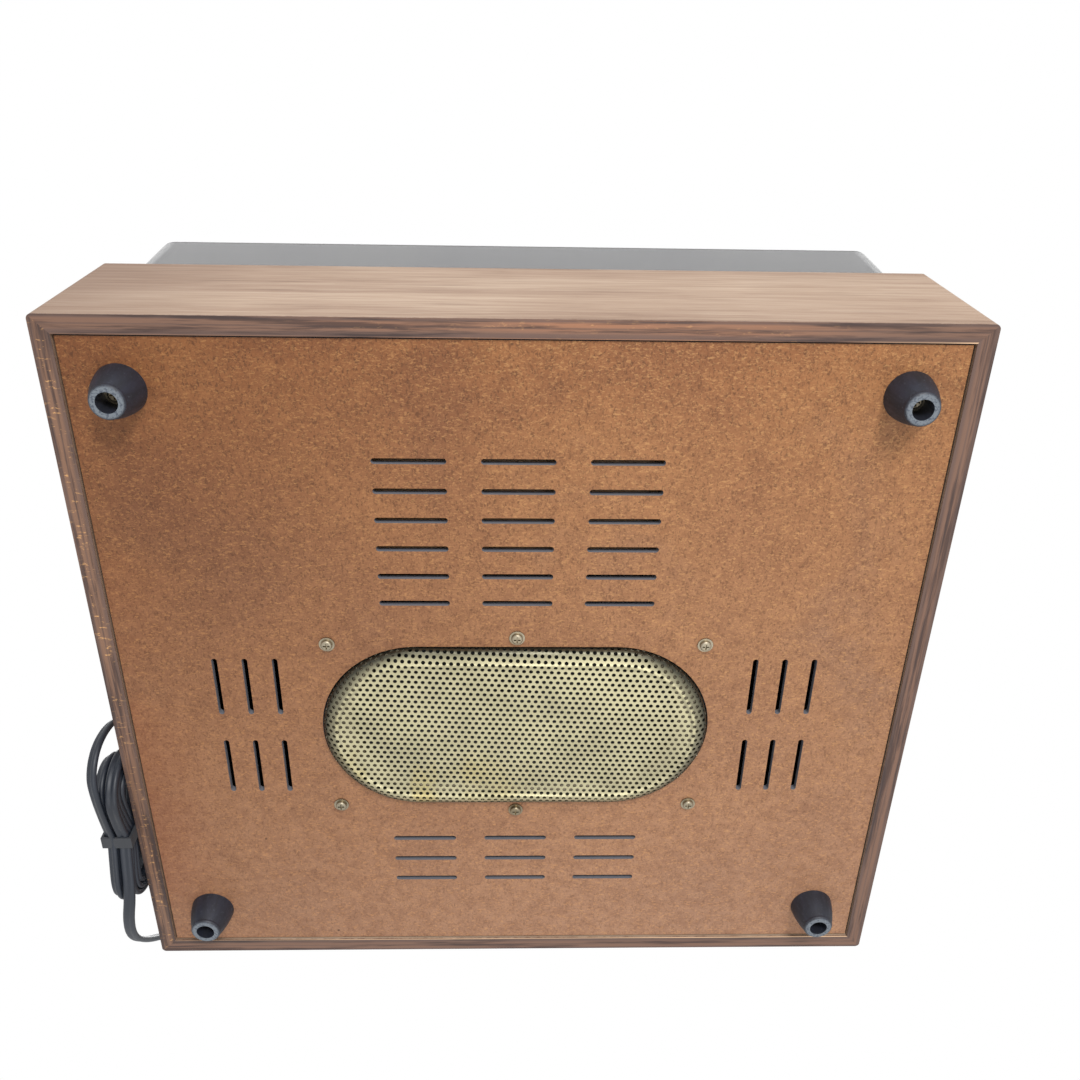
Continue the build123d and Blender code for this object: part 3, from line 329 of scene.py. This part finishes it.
def plated(name, low, high, rough_low=0.24, rough_high=0.42, patch=srgb(206, 186, 108)):
    """Zinc-plated steel with passivation patches."""
    s = Shade(name, Metallic=1.0)
    cloud = s.noise(s.place, 42, 5, 0.6, 0.5)
    fine = s.noise(s.place, 700, 3, 0.6)
    base = s.ramp(cloud, (0.35, low), (0.65, high))
    patches = s.between(s.noise(s.scaled(1, 1, 1, (4, 4, 1)), 30, 4), 0.52, 0.66)
    base = s.mix(s.math("MULTIPLY", patches, 0.5), base, patch)
    base = s.mix(s.math("MULTIPLY", s.between(fine, 0.60, 0.74), 0.35), base, srgb(120, 112, 96))
    s.colour(base)
    s.rough(s.ramp(cloud, (0.3, rough_low), (0.7, rough_high)))
    s.bump(fine, 0.12, 0.05 * MM)
    return s.material


def grille_steel():
    """Yellow-passivated steel, with stains at the left, painted shade where the sheet lies deepest and a
    painted dark reflection on its end slopes.
    """
    s = Shade("grille_steel", Metallic=0.9)
    cloud = s.noise(s.place, 42, 5, 0.6, 0.5)
    fine = s.noise(s.place, 700, 3, 0.6)
    base = s.ramp(cloud, (0.35, srgb(176, 169, 137)), (0.65, srgb(192, 185, 150)))
    x, y, z = s.split(s.place)
    stain = s.between(s.noise(s.scaled(1, 0.5, 1, (4, 4, 1)), 36, 4), 0.50, 0.64)
    at_left = s.math("MULTIPLY", s.between(x, 10 * MM, -50 * MM), s.between(y, 5 * MM, 50 * MM))
    base = s.mix(s.math("MULTIPLY", stain, s.math("MULTIPLY", at_left, 0.6)), base, srgb(196, 172, 84))
    base = s.mix(s.math("MULTIPLY", s.between(fine, 0.60, 0.74), 0.3), base, srgb(120, 112, 96))
    normal = s.split(s.tree.nodes.new("ShaderNodeNewGeometry").outputs["Normal"])
    # Painted reflection: the end slopes are darkened as if they mirrored dark surroundings at the sides.
    end_slope_reflection = s.between(s.math("ABSOLUTE", normal[0]), 0.08, 0.34)
    base = s.mix(s.math("MULTIPLY", end_slope_reflection, 0.6), base, srgb(84, 82, 74))
    # Painted shade: the sheet darkens where it lies deeper than its tip, where shadow falls.
    recess_shade = s.between(z, GRILLE_TIP + 0.7 * MM, GRILLE_TIP + 2.4 * MM)
    base = s.mix(s.math("MULTIPLY", recess_shade, 0.85), base, srgb(44, 44, 42))
    s.colour(base)
    s.rough(s.ramp(cloud, (0.3, 0.32), (0.7, 0.44)))
    s.bump(fine, 0.12, 0.05 * MM)
    return s.material


def moulded(name, first, second, rough_low, rough_high, grain=900, strength=0.18, **values):
    """Moulded plastic or paint: fine grain, faint clouds and handling marks."""
    s = Shade(name, **values)
    cloud = s.noise(s.place, 24, 4, 0.6)
    fine = s.noise(s.place, grain, 3, 0.6)
    marks = s.between(s.noise(s.scaled(1, 0.12, 1), 120, 5, 0.7, 1.5), 0.66, 0.74)
    base = s.ramp(cloud, (0.35, first), (0.65, second))
    base = s.mix(s.math("MULTIPLY", marks, 0.12), base, srgb(160, 158, 152))
    s.colour(base)
    worn = s.math("ADD", s.math("MULTIPLY", cloud, 0.6), s.math("MULTIPLY", fine, 0.4))
    s.rough(s.ramp(worn, (0.35, rough_low), (0.65, rough_high)))
    s.bump(fine, strength, 0.08 * MM)
    return s.material


def turned_metal(name, centre, base_low, base_high):
    """Metal turned on a lathe: fine rings about an axis through the centre."""
    s = Shade(name, Metallic=1.0)
    away = s.node("ShaderNodeVectorMath", Vector=s.place)
    away.operation = "SUBTRACT"
    away.inputs[1].default_value = centre
    distance = s.tree.nodes.new("ShaderNodeVectorMath")
    distance.operation = "LENGTH"
    s.feed(distance.inputs[0], away.outputs[0])
    ring_place = s.node("ShaderNodeCombineXYZ", X=distance.outputs["Value"]).outputs[0]
    rings = s.noise(ring_place, 3500, 2, 0.6)
    cloud = s.noise(s.place, 60, 4)
    ringed = s.ramp(rings, (0.3, base_low), (0.7, base_high))
    s.colour(s.mix(s.math("MULTIPLY", cloud, 0.4), ringed, base_low))
    s.rough(s.ramp(rings, (0.3, 0.22), (0.7, 0.38)))
    s.bump(rings, 0.25, 0.04 * MM)
    return s.material


ACRYLIC_IOR = 1.49


def see_through(name, tint, rough):
    """Clear or smoked plastic with faint rubbing marks."""
    s = Shade(name, Transmission_Weight=1.0, IOR=ACRYLIC_IOR)
    swirl = s.noise(s.scaled(1, 0.3, 1), 160, 4, 0.7, 1.0)
    cloud = s.noise(s.place, 18, 4, 0.6)
    s.colour(s.ramp(cloud, (0.3, tint[0]), (0.7, tint[1])))
    s.rough(s.ramp(swirl, (0.4, rough), (0.75, rough + 0.06)))
    s.bump(swirl, 0.03, 0.05 * MM)
    return s.material


materials = {
    "walnut_x": walnut("walnut_front_grain", True),
    "walnut_y": walnut("walnut_side_grain", False),
    "hardboard": hardboard(),
    "rubber": foot_rubber(),
    "zinc": grille_steel(),
    "zinc_dull": plated(
        "zinc_fixings", srgb(136, 128, 110), srgb(168, 158, 138), 0.3, 0.5, srgb(120, 100, 66)
    ),
    "black": moulded("deck_black", srgb(26, 26, 28), srgb(34, 34, 36), 0.42, 0.6, 700, 0.3),
    "ivory": moulded("ivory_plastic", srgb(214, 208, 190), srgb(226, 221, 206), 0.25, 0.4),
    "cream": moulded("printed_cream", srgb(226, 220, 202), srgb(236, 231, 216), 0.4, 0.55),
    "hand_black": moulded("hand_black", srgb(16, 16, 17), srgb(26, 26, 28), 0.3, 0.45),
    "orange": moulded("orange_paint", srgb(204, 70, 26), srgb(222, 88, 36), 0.3, 0.45),
    "vinyl": moulded("lead_vinyl", srgb(18, 23, 32), srgb(27, 33, 43), 0.42, 0.56, 500, 0.12),
    "tie": moulded("paper_tie", srgb(32, 34, 38), srgb(52, 54, 58), 0.6, 0.8, 1500, 0.5),
    "pine": moulded("pine", srgb(196, 160, 112), srgb(214, 180, 132), 0.6, 0.75, 300, 0.4),
    "board_green": moulded("phenolic", srgb(120, 84, 40), srgb(140, 100, 52), 0.35, 0.5),
    "components": moulded("components", srgb(40, 52, 84), srgb(60, 72, 104), 0.3, 0.45),
    "iron": moulded("iron", srgb(58, 58, 60), srgb(76, 76, 78), 0.4, 0.6),
    "paper": moulded("pulp_cone", srgb(30, 30, 32), srgb(44, 44, 46), 0.8, 0.95, 1200, 0.6),
    "brass": plated("brass", srgb(196, 158, 84), srgb(220, 184, 108), 0.25, 0.4, srgb(180, 130, 60)),
    "smoked": see_through("smoked_plastic", (srgb(150, 150, 152), srgb(158, 158, 158)), 0.04),
    "clear": see_through("clear_plastic", (srgb(244, 246, 246), srgb(250, 251, 251)), 0.02),
    "bezel": turned_metal("turned_bezel", tuple(CLOCK), srgb(196, 196, 198), srgb(226, 226, 228)),
}
for knob in ("volume", "selector", "tuning", "time_set", "alarm_set"):
    centre = tuple(joints[knob + "_turn"]["pos_m"])
    materials[knob] = turned_metal(knob + "_metal", centre, srgb(190, 190, 192), srgb(224, 224, 226))

finishes = {
    "walnut_x": ["front_board", "rear_board"],
    "walnut_y": ["left_board", "right_board"],
    "hardboard": ["base_panel"],
    "rubber": ["rubber_feet", "speaker_gasket"],
    "zinc": ["speaker_grille"],
    "zinc_dull": [
        "grille_washers", "grille_screws", "grille_nuts", "foot_washers", "foot_screws", "speaker_frame",
        "hinge_brackets", "hinge_pins", "cover_leaves", "tuning_gang", "gang_rotor", "clock_motor",
    ],
    "black": ["deck_plate", "deck_screws", "console", "movement_case", "control_units", "board_posts"],
    "ivory": ["band_switch", "alarm_switch", "snooze_bar"],
    "cream": ["clock_dial", "scale_plate"],
    "hand_black": ["hour_hand", "minute_hand"],
    "orange": ["second_hand", "alarm_hand", "tuning_pointer"],
    "vinyl": ["power_lead", "plug_lead", "cord_hank", "plug", "strain_relief"],
    "tie": ["cord_tie"],
    "pine": ["corner_blocks"],
    "board_green": ["circuit_board"],
    "components": ["board_components"],
    "iron": ["transformer", "speaker_magnet", "ferrite_antenna"],
    "paper": ["speaker_cone"],
    "brass": ["hour_wheel", "alarm_wheel"],
    "smoked": ["dust_cover"],
    "clear": ["clock_lens", "scale_window"],
    "bezel": ["clock_bezel"],
    "volume": ["volume_knob"],
    "selector": ["selector_knob"],
    "tuning": ["tuning_knob"],
    "time_set": ["time_set_knob"],
    "alarm_set": ["alarm_set_knob"],
}
for finish, names in finishes.items():
    for name in names:
        for material_slot in nodes[name].material_slots:
            material_slot.material = materials[finish]


def ease(name, width, segments=2):
    """Rounds a CAD node's sharp edges a little, as the real piece's are."""
    bevel = nodes[name].modifiers.new("eased", "BEVEL")
    bevel.width = width
    bevel.segments = segments
    bevel.limit_method = "ANGLE"
    bevel.angle_limit = math.radians(35)
    bevel.harden_normals = True


for name in ("front_board", "rear_board", "left_board", "right_board"):
    ease(name, 0.35 * MM)

# ---- mains lead: a flat twin on the route of the CAD lead, its tied hank and its tail -------
LEAD = 5.4 * MM
LEAD_THICK = 2.7 * MM
HANK_X, HANK_Y, HANK_HALF = -181.8, 82.0, 22.0
LOOP_LEVEL = 18.7
OUTER_LOOP = 17.0
LAYER = 2.9
COLUMN = 2.9

lead_in = [
    (-128.0, 183.0, 66.0),
    (-130.0, 197.0, 67.5),
    (-143.0, 207.0, 68.0),
    (-162.0, 208.0, 64.0),
    (-178.0, 198.0, 55.0),
    (-185.0, 181.0, 41.0),
    (-187.0, 164.0, 23.0),
    (-186.0, 146.0, 9.0),
    (-183.0, 128.0, 2.6),
    (-178.9, 110.0, 1.7),
]
lead_out = [
    (-184.7, 52.0, 1.7),
    (-184.7, 40.0, 1.9),
    (-184.4, 31.0, 12.5),
    (-183.6, 31.0, 29.5),
    (-182.6, 40.0, 43.5),
    (-182.0, 56.0, 48.7),
    (-182.0, 73.0, 48.7),
]


def hank_turns():
    """Control points of the turns. Each goes forward below, round the front loop, back above and
    round the rear loop, where it steps to the next ring or column."""
    turns = [(0, -1), (1, -1), (2, -1), (3, -1), (3, 1), (2, 1), (1, 1), (0, 1)]
    rings = [(OUTER_LOOP - LAYER * ring, HANK_X - COLUMN * side) for ring, side in turns]
    points = []
    fan = [255, 217.5, 180, 142.5, 105]
    push = 1 / math.cos(math.radians(37.5 / 2))
    for k, (radius, x) in enumerate(rings):
        waist = 1.5 + 2.8 * (3 - (OUTER_LOOP - radius) / LAYER)
        wobble = 0.6 * math.sin(2.4 * k + 1)
        for u, share in ((9, 0.4), (0, 0.0), (-9, 0.4)):
            points.append((x, HANK_Y + u, LOOP_LEVEL - waist - share * (radius - waist)))
        if k == len(rings) - 1:
            break
        for angle in fan:
            swing = math.radians(angle)
            y = HANK_Y - HANK_HALF + push * radius * math.cos(swing)
            points.append((x + wobble, y, LOOP_LEVEL + push * radius * math.sin(swing)))
        for u, share in ((-9, 0.4), (0, 0.0), (9, 0.4)):
            points.append((x, HANK_Y + u, LOOP_LEVEL + waist + share * (radius - waist)))
        next_radius, next_x = rings[k + 1]
        for step, angle in enumerate(reversed(fan)):
            swing = math.radians(180 - angle)
            share = (step + 0.5) / len(fan)
            r = radius + (next_radius - radius) * share
            y = HANK_Y + HANK_HALF + push * r * math.cos(swing)
            z = LOOP_LEVEL + push * r * math.sin(swing)
            points.append((x + (next_x - x) * share - wobble, y, z))
    return points


route = [Vector(p) * MM for p in lead_in + hank_turns() + lead_out]


def smooth_line(points):
    """The NURBS line that has these control points, as a list of points."""
    curve = bpy.data.curves.new("route", "CURVE")
    curve.dimensions = "3D"
    curve.resolution_u = 10
    spline = curve.splines.new("NURBS")
    spline.points.add(len(points) - 1)
    for point, place in zip(spline.points, points):
        point.co = (*place, 1)
    spline.order_u = 3
    spline.use_endpoint_u = True
    holder = bpy.data.objects.new("route", curve)
    mesh = bpy.data.meshes.new_from_object(holder)
    line = [v.co.copy() for v in mesh.vertices]
    bpy.data.meshes.remove(mesh)
    bpy.data.objects.remove(holder)
    bpy.data.curves.remove(curve)
    return line


def twin_section():
    """Outline of the flat twin: two round cores with a web between them, as (across, through)."""
    core = LEAD_THICK / 2
    shift = LEAD / 2 - core
    outline = []
    count = 28
    for k in range(count):
        angle = 2 * math.pi * k / count
        across = (shift + core) * math.cos(angle)
        inside = abs(across) - shift
        height = math.sqrt(max(core * core - inside * inside, 0.0))
        height = max(height, 0.62 * core) if abs(across) < shift else height
        outline.append((across, height if math.sin(angle) >= 0 else -height))
    return outline


def carried_sides(line):
    """Tangents and width directions: the width starts across the hank and is carried without twist."""
    tangents = [
        (line[min(i + 1, len(line) - 1)] - line[max(i - 1, 0)]).normalized() for i in range(len(line))
    ]
    start = min(range(len(line)), key=lambda i: (line[i] - Vector((HANK_X, HANK_Y, LOOP_LEVEL)) * MM).length)
    wide = [None] * len(line)
    wide[start] = (ACROSS - tangents[start] * ACROSS.dot(tangents[start])).normalized()
    for step, order in ((1, range(start + 1, len(line))), (-1, range(start - 1, -1, -1))):
        for i in order:
            turn_by = tangents[i - step].rotation_difference(tangents[i])
            carried = turn_by @ wide[i - step]
            wide[i] = (carried - tangents[i] * carried.dot(tangents[i])).normalized()
    return tangents, wide


CLEARANCE = 0.08 * MM
RAISED_SPAN = 8


def nearby(values, i):
    """The values within the raised span of a place in the list."""
    return values[max(i - RAISED_SPAN, 0):i + RAISED_SPAN + 1]


def off_floor(line):
    """The same line, raised smoothly where its tilted section would reach below the floor."""
    section = twin_section()
    tangents, wide = carried_sides(line)
    lowest = [
        min((place + side * a + tangent.cross(side) * t).z for a, t in section)
        for place, tangent, side in zip(line, tangents, wide)
    ]
    need = [max(0.0, CLEARANCE - z) for z in lowest]
    spread = [max(nearby(need, i)) for i in range(len(need))]
    return [
        place + Vector((0, 0, sum(nearby(spread, i)) / len(nearby(spread, i))))
        for i, place in enumerate(line)
    ]


def lead_piece(name, line):
    """A tube with the twin section along the line."""
    section = twin_section()
    tangents, wide = carried_sides(line)
    bm = bmesh.new()
    rings = []
    for place, tangent, side in zip(line, tangents, wide):
        through = tangent.cross(side)
        rings.append([bm.verts.new(place + side * a + through * t) for a, t in section])
    for first, second in zip(rings, rings[1:]):
        for k in range(len(section)):
            n = (k + 1) % len(section)
            bm.faces.new((first[k], first[n], second[n], second[k]))
    bm.faces.new(rings[0][::-1])
    bm.faces.new(rings[-1])
    stands_for = ("power_lead", "plug_lead", "cord_hank")
    return add_mesh(name, bm, materials["vinyl"], "cabinet", replaces=stands_for)


lead_line = off_floor(smooth_line(route))
lead = lead_piece("mains_lead", lead_line)

# ---- speaker grille: perforated sheet wrapped over a rounded shoulder ------------------------
grille_low, grille_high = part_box("speaker_grille")
GRILLE_PITCH = 2.94 * MM
GRILLE_TURN = math.radians(2.7)
HOLE = 0.88 * MM
SHEET = 0.5 * MM
PAN_HALF_X = 84.2 * MM
PAN_HALF_Y = 41.9 * MM
# The pan's section from its field over the crease, crest and shoulder to its wall, in millimetres:
# (distance in from the pan's edge, depth from its tip).
PAN_SECTION = [
    (10.6, 0.4), (8.6, 0.42), (7.6, 0.42), (6.4, 0.0), (5.0, 0.15), (2.2, 1.6), (0.6, 2.7), (0.0, 4.2),
    (0.0, 9.0),
]
CROWN = 0.3 * MM


def rounded(points, times):
    """The same line with its corners cut, so that it bends smoothly."""
    for _ in range(times):
        cut = [points[0]]
        for (ax, ay), (bx, by) in zip(points, points[1:]):
            cut.append((0.75 * ax + 0.25 * bx, 0.75 * ay + 0.25 * by))
            cut.append((0.25 * ax + 0.75 * bx, 0.25 * ay + 0.75 * by))
        points = cut + [points[-1]]
    return points


def perforated_grille():
    """A staggered hole pattern laid out flat, then wrapped over the pan's crest and down its wall."""
    centre_y = (grille_low[1] + grille_high[1]) / 2
    section = rounded([(e * MM, d * MM) for e, d in PAN_SECTION], 3)
    steps = [0.0]
    for (ax, ay), (bx, by) in zip(section, section[1:]):
        steps.append(steps[-1] + math.hypot(bx - ax, by - ay))
    flat_half = PAN_HALF_Y - section[0][0]
    straight = PAN_HALF_X - PAN_HALF_Y
    reach = flat_half + steps[-1]

    def outward(x, y):
        """The nearest point of the pan's middle line, and the distance and direction away from it."""
        base = Vector((max(-straight, min(straight, x)), 0.0))
        away = Vector((x, y)) - base
        return base, away.length, away.normalized() if away.length > 1e-9 else Vector((0, 1))

    def wrapped(x, y):
        base, distance, direction = outward(x, y)
        distance = min(distance, reach)
        along = distance
        depth = section[0][1] + CROWN * ((min(distance, flat_half) / flat_half) ** 2 - 1)
        if distance > flat_half:
            past = distance - flat_half
            k = max(i for i, step in enumerate(steps[:-1]) if step <= past + 1e-12)
            share = min((past - steps[k]) / (steps[k + 1] - steps[k]), 1.0)
            inset = section[k][0] + share * (section[k + 1][0] - section[k][0])
            depth = section[k][1] + share * (section[k + 1][1] - section[k][1])
            along = PAN_HALF_Y - inset
        place = base + direction * along
        return Vector((place.x, centre_y + place.y, grille_low[2] + 0.05 * MM + depth))

    bm = bmesh.new()
    shared = {}
    cos_turn, sin_turn = math.cos(GRILLE_TURN), math.sin(GRILLE_TURN)

    def turned(x, y):
        return x * cos_turn - y * sin_turn, x * sin_turn + y * cos_turn

    def vertex(x, y):
        key = (round(x * 2e5), round(y * 2e5))
        if key not in shared:
            shared[key] = bm.verts.new(wrapped(x, y))
        return shared[key]

    row_step = GRILLE_PITCH * math.sqrt(3) / 2
    corner = GRILLE_PITCH / math.sqrt(3)
    rows = int((reach + 0.1 * straight) / row_step) + 2
    columns = int((straight + reach) / GRILLE_PITCH) + 3
    around = [math.radians(30 + 30 * k) + GRILLE_TURN for k in range(12)]
    for row in range(-rows, rows + 1):
        for column in range(-columns, columns + 1):
            cx, cy = turned((column + 0.5 * (row % 2)) * GRILLE_PITCH, row * row_step)
            if outward(cx, cy)[1] > reach + corner:
                continue
            rim = []
            for k, angle in enumerate(around):
                far = corner if k % 2 == 0 else corner * math.cos(math.radians(30))
                rim.append((cx + far * math.cos(angle), cy + far * math.sin(angle)))
            if all(outward(*p)[1] >= reach for p in rim):
                continue
            outer = [vertex(*p) for p in rim]
            if outward(cx, cy)[1] < reach - HOLE - 0.8 * MM:
                inner = [vertex(cx + HOLE * math.cos(a), cy + HOLE * math.sin(a)) for a in around]
                for k in range(12):
                    n = (k + 1) % 12
                    bm.faces.new((outer[k], outer[n], inner[n], inner[k]))
            else:
                bm.faces.new(outer)
    bmesh.ops.remove_doubles(bm, verts=bm.verts, dist=0.02 * MM)
    bmesh.ops.dissolve_degenerate(bm, dist=0.01 * MM, edges=bm.edges)
    for edge in bm.edges:
        edge.smooth = not edge.is_boundary
    steel = materials["zinc"]
    stands_for = ("speaker_grille",)
    piece = add_mesh("perforated_grille", bm, steel, "cabinet", replaces=stands_for)
    if sum(polygon.normal.z for polygon in piece.data.polygons) > 0:
        piece.data.flip_normals()
    thicken = piece.modifiers.new("sheet", "SOLIDIFY")
    thicken.thickness = SHEET
    thicken.offset = -1
    return piece


perforated_grille()

# ---- dial and scale printing -----------------------------------------------------------------
def face_matrix(centre, level, across=0.0, up_by=0.0, turn_by=0.0):
    """A frame on the sloping panel: X across, Y up the slope, Z out of it."""
    place = centre + OUT * level + ACROSS * across + UP_SLOPE * up_by
    basis = Matrix((ACROSS, UP_SLOPE, OUT)).transposed().to_4x4()
    return Matrix.Translation(place) @ basis @ Matrix.Rotation(turn_by, 4, "Z")


EASED = 0.9


def add_bar(bm, frame_at, x, y, half_x, half_y, thick):
    """A flat bar in a face frame, with eased top corners."""
    corners = [(-1, -1), (1, -1), (1, 1), (-1, 1)]
    low = [bm.verts.new(frame_at @ Vector((x + a * half_x, y + b * half_y, 0))) for a, b in corners]
    top = [
        bm.verts.new(frame_at @ Vector((x + a * half_x * EASED, y + b * half_y * EASED, thick)))
        for a, b in corners
    ]
    bm.faces.new(top)
    bm.faces.new(low[::-1])
    for k in range(4):
        n = (k + 1) % 4
        bm.faces.new((low[k], low[n], top[n], top[k]))


def add_text(bm, words, frame_at, size, thick=0.03 * MM):
    """Raised printing of plain numbers in a face frame, centred."""
    text = bpy.data.curves.new("numbers", "FONT")
    text.body = words
    text.size = size
    text.align_x = "CENTER"
    text.align_y = "CENTER"
    text.extrude = thick
    text.resolution_u = 4
    holder = bpy.data.objects.new("numbers", text)
    mesh = bpy.data.meshes.new_from_object(holder)
    mesh.transform(frame_at)
    bm.from_mesh(mesh)
    bpy.data.meshes.remove(mesh)
    bpy.data.objects.remove(holder)
    bpy.data.curves.remove(text)


DIAL_TOP = -4.0 * MM
INK = 0.08 * MM


def clock_printing():
    bm = bmesh.new()
    for minute in range(60):
        hour_mark = minute % 5 == 0
        angle = -math.radians(6 * minute)
        at = face_matrix(CLOCK, DIAL_TOP, turn_by=angle)
        length = 2.6 if hour_mark else 1.4
        add_bar(bm, at, 0, (46.5 - length) * MM, (0.55 if hour_mark else 0.2) * MM, length * MM, INK)
    for hour in range(1, 13):
        angle = math.radians(30 * hour)
        across, up_by = 35.5 * MM * math.sin(angle), 35.5 * MM * math.cos(angle)
        add_text(bm, str(hour), face_matrix(CLOCK, DIAL_TOP, across, up_by), 9.5 * MM)
    add_mesh("clock_printing", bm, materials["hand_black"], "cabinet", smooth=False)


def scale_printing():
    low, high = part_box("scale_window")
    middle = Vector(((low[0] + high[0]) / 2, (low[1] + high[1]) / 2, (low[2] + high[2]) / 2))
    bm = bmesh.new()
    travel = 110.0 * MM
    level = -7.3 * MM
    upper = [88, 92, 96, 100, 104, 108]
    lower = [54, 60, 70, 80, 100, 120, 160]
    for numbers, up_by, side in ((upper, 8.5 * MM, -1), (lower, -8.5 * MM, 1)):
        for k, number in enumerate(numbers):
            across = -travel / 2 + travel * k / (len(numbers) - 1)
            add_text(bm, str(number), face_matrix(middle, level, across, up_by), 5.0 * MM)
            mark = face_matrix(middle, level, across, up_by + side * 5.0 * MM)
            add_bar(bm, mark, 0, 0, 0.25 * MM, 1.6 * MM, INK)
        add_bar(bm, face_matrix(middle, level, 0, up_by + side * 6.6 * MM), 0, 0, travel / 2, 0.15 * MM, INK)
    for tick in range(56):
        across = -travel / 2 + travel * tick / 55
        half_length = (1.2 if tick % 5 else 1.9) * MM
        add_bar(bm, face_matrix(middle, level, across, 0), 0, 0, 0.12 * MM, half_length, INK)
    add_mesh("scale_printing", bm, materials["hand_black"], "cabinet", smooth=False)


clock_printing()
scale_printing()

# ---- floor, world and lights -------------------------------------------------------------------
def pale_floor():
    """A pale floor that shows from above only, and neither shades nor lights the underside."""
    size = 4.0
    mesh = bpy.data.meshes.new("floor")
    corners = [(-size, -size, 0), (size, -size, 0), (size, size, 0), (-size, size, 0)]
    mesh.from_pydata(corners, [], [(0, 1, 2, 3)])
    s = Shade("floor", Roughness=0.8)
    s.colour(s.ramp(s.noise(s.place, 3, 3), (0.3, srgb(226, 226, 226)), (0.7, srgb(232, 232, 232))))
    clear = s.tree.nodes.new("ShaderNodeBsdfTransparent")
    either = s.tree.nodes.new("ShaderNodeMixShader")
    s.feed(either.inputs[0], s.tree.nodes.new("ShaderNodeNewGeometry").outputs["Backfacing"])
    s.feed(either.inputs[1], s.shader.outputs[0])
    s.feed(either.inputs[2], clear.outputs[0])
    s.feed(s.tree.nodes["Material Output"].inputs["Surface"], either.outputs[0])
    mesh.materials.append(s.material)
    floor = bpy.data.objects.new("floor", mesh)
    bpy.context.scene.collection.objects.link(floor)
    floor.visible_shadow = False
    floor.visible_diffuse = False
    floor.visible_glossy = False
    floor.visible_transmission = False


def area_light(name, place, size, watts, aim=(0, 0, 0.05), tint=(1, 1, 1)):
    data = bpy.data.lights.new(name, "AREA")
    data.shape = "DISK"
    data.size = size
    data.energy = watts
    data.color = tint
    light = bpy.data.objects.new(name, data)
    direction = Vector(place) - Vector(aim)
    light.rotation_euler = direction.to_track_quat("Z", "Y").to_euler()
    light.location = place
    light.visible_transmission = False
    bpy.context.scene.collection.objects.link(light)


pale_floor()
world = bpy.data.worlds.new("studio")
world.use_nodes = True
world.node_tree.nodes["Background"].inputs["Color"].default_value = (1, 1, 1, 1)
world.node_tree.nodes["Background"].inputs["Strength"].default_value = 1.0
bpy.context.scene.world = world
bpy.context.scene.view_settings.view_transform = "Standard"
area_light("front_key", (0.35, -1.45, -1.0), 0.5, 27.0)
area_light("under_fill", (0.25, 0.25, -1.5), 0.7, 5.0)
area_light("top_rear", (-0.7, 0.9, 1.4), 1.0, 16.0)
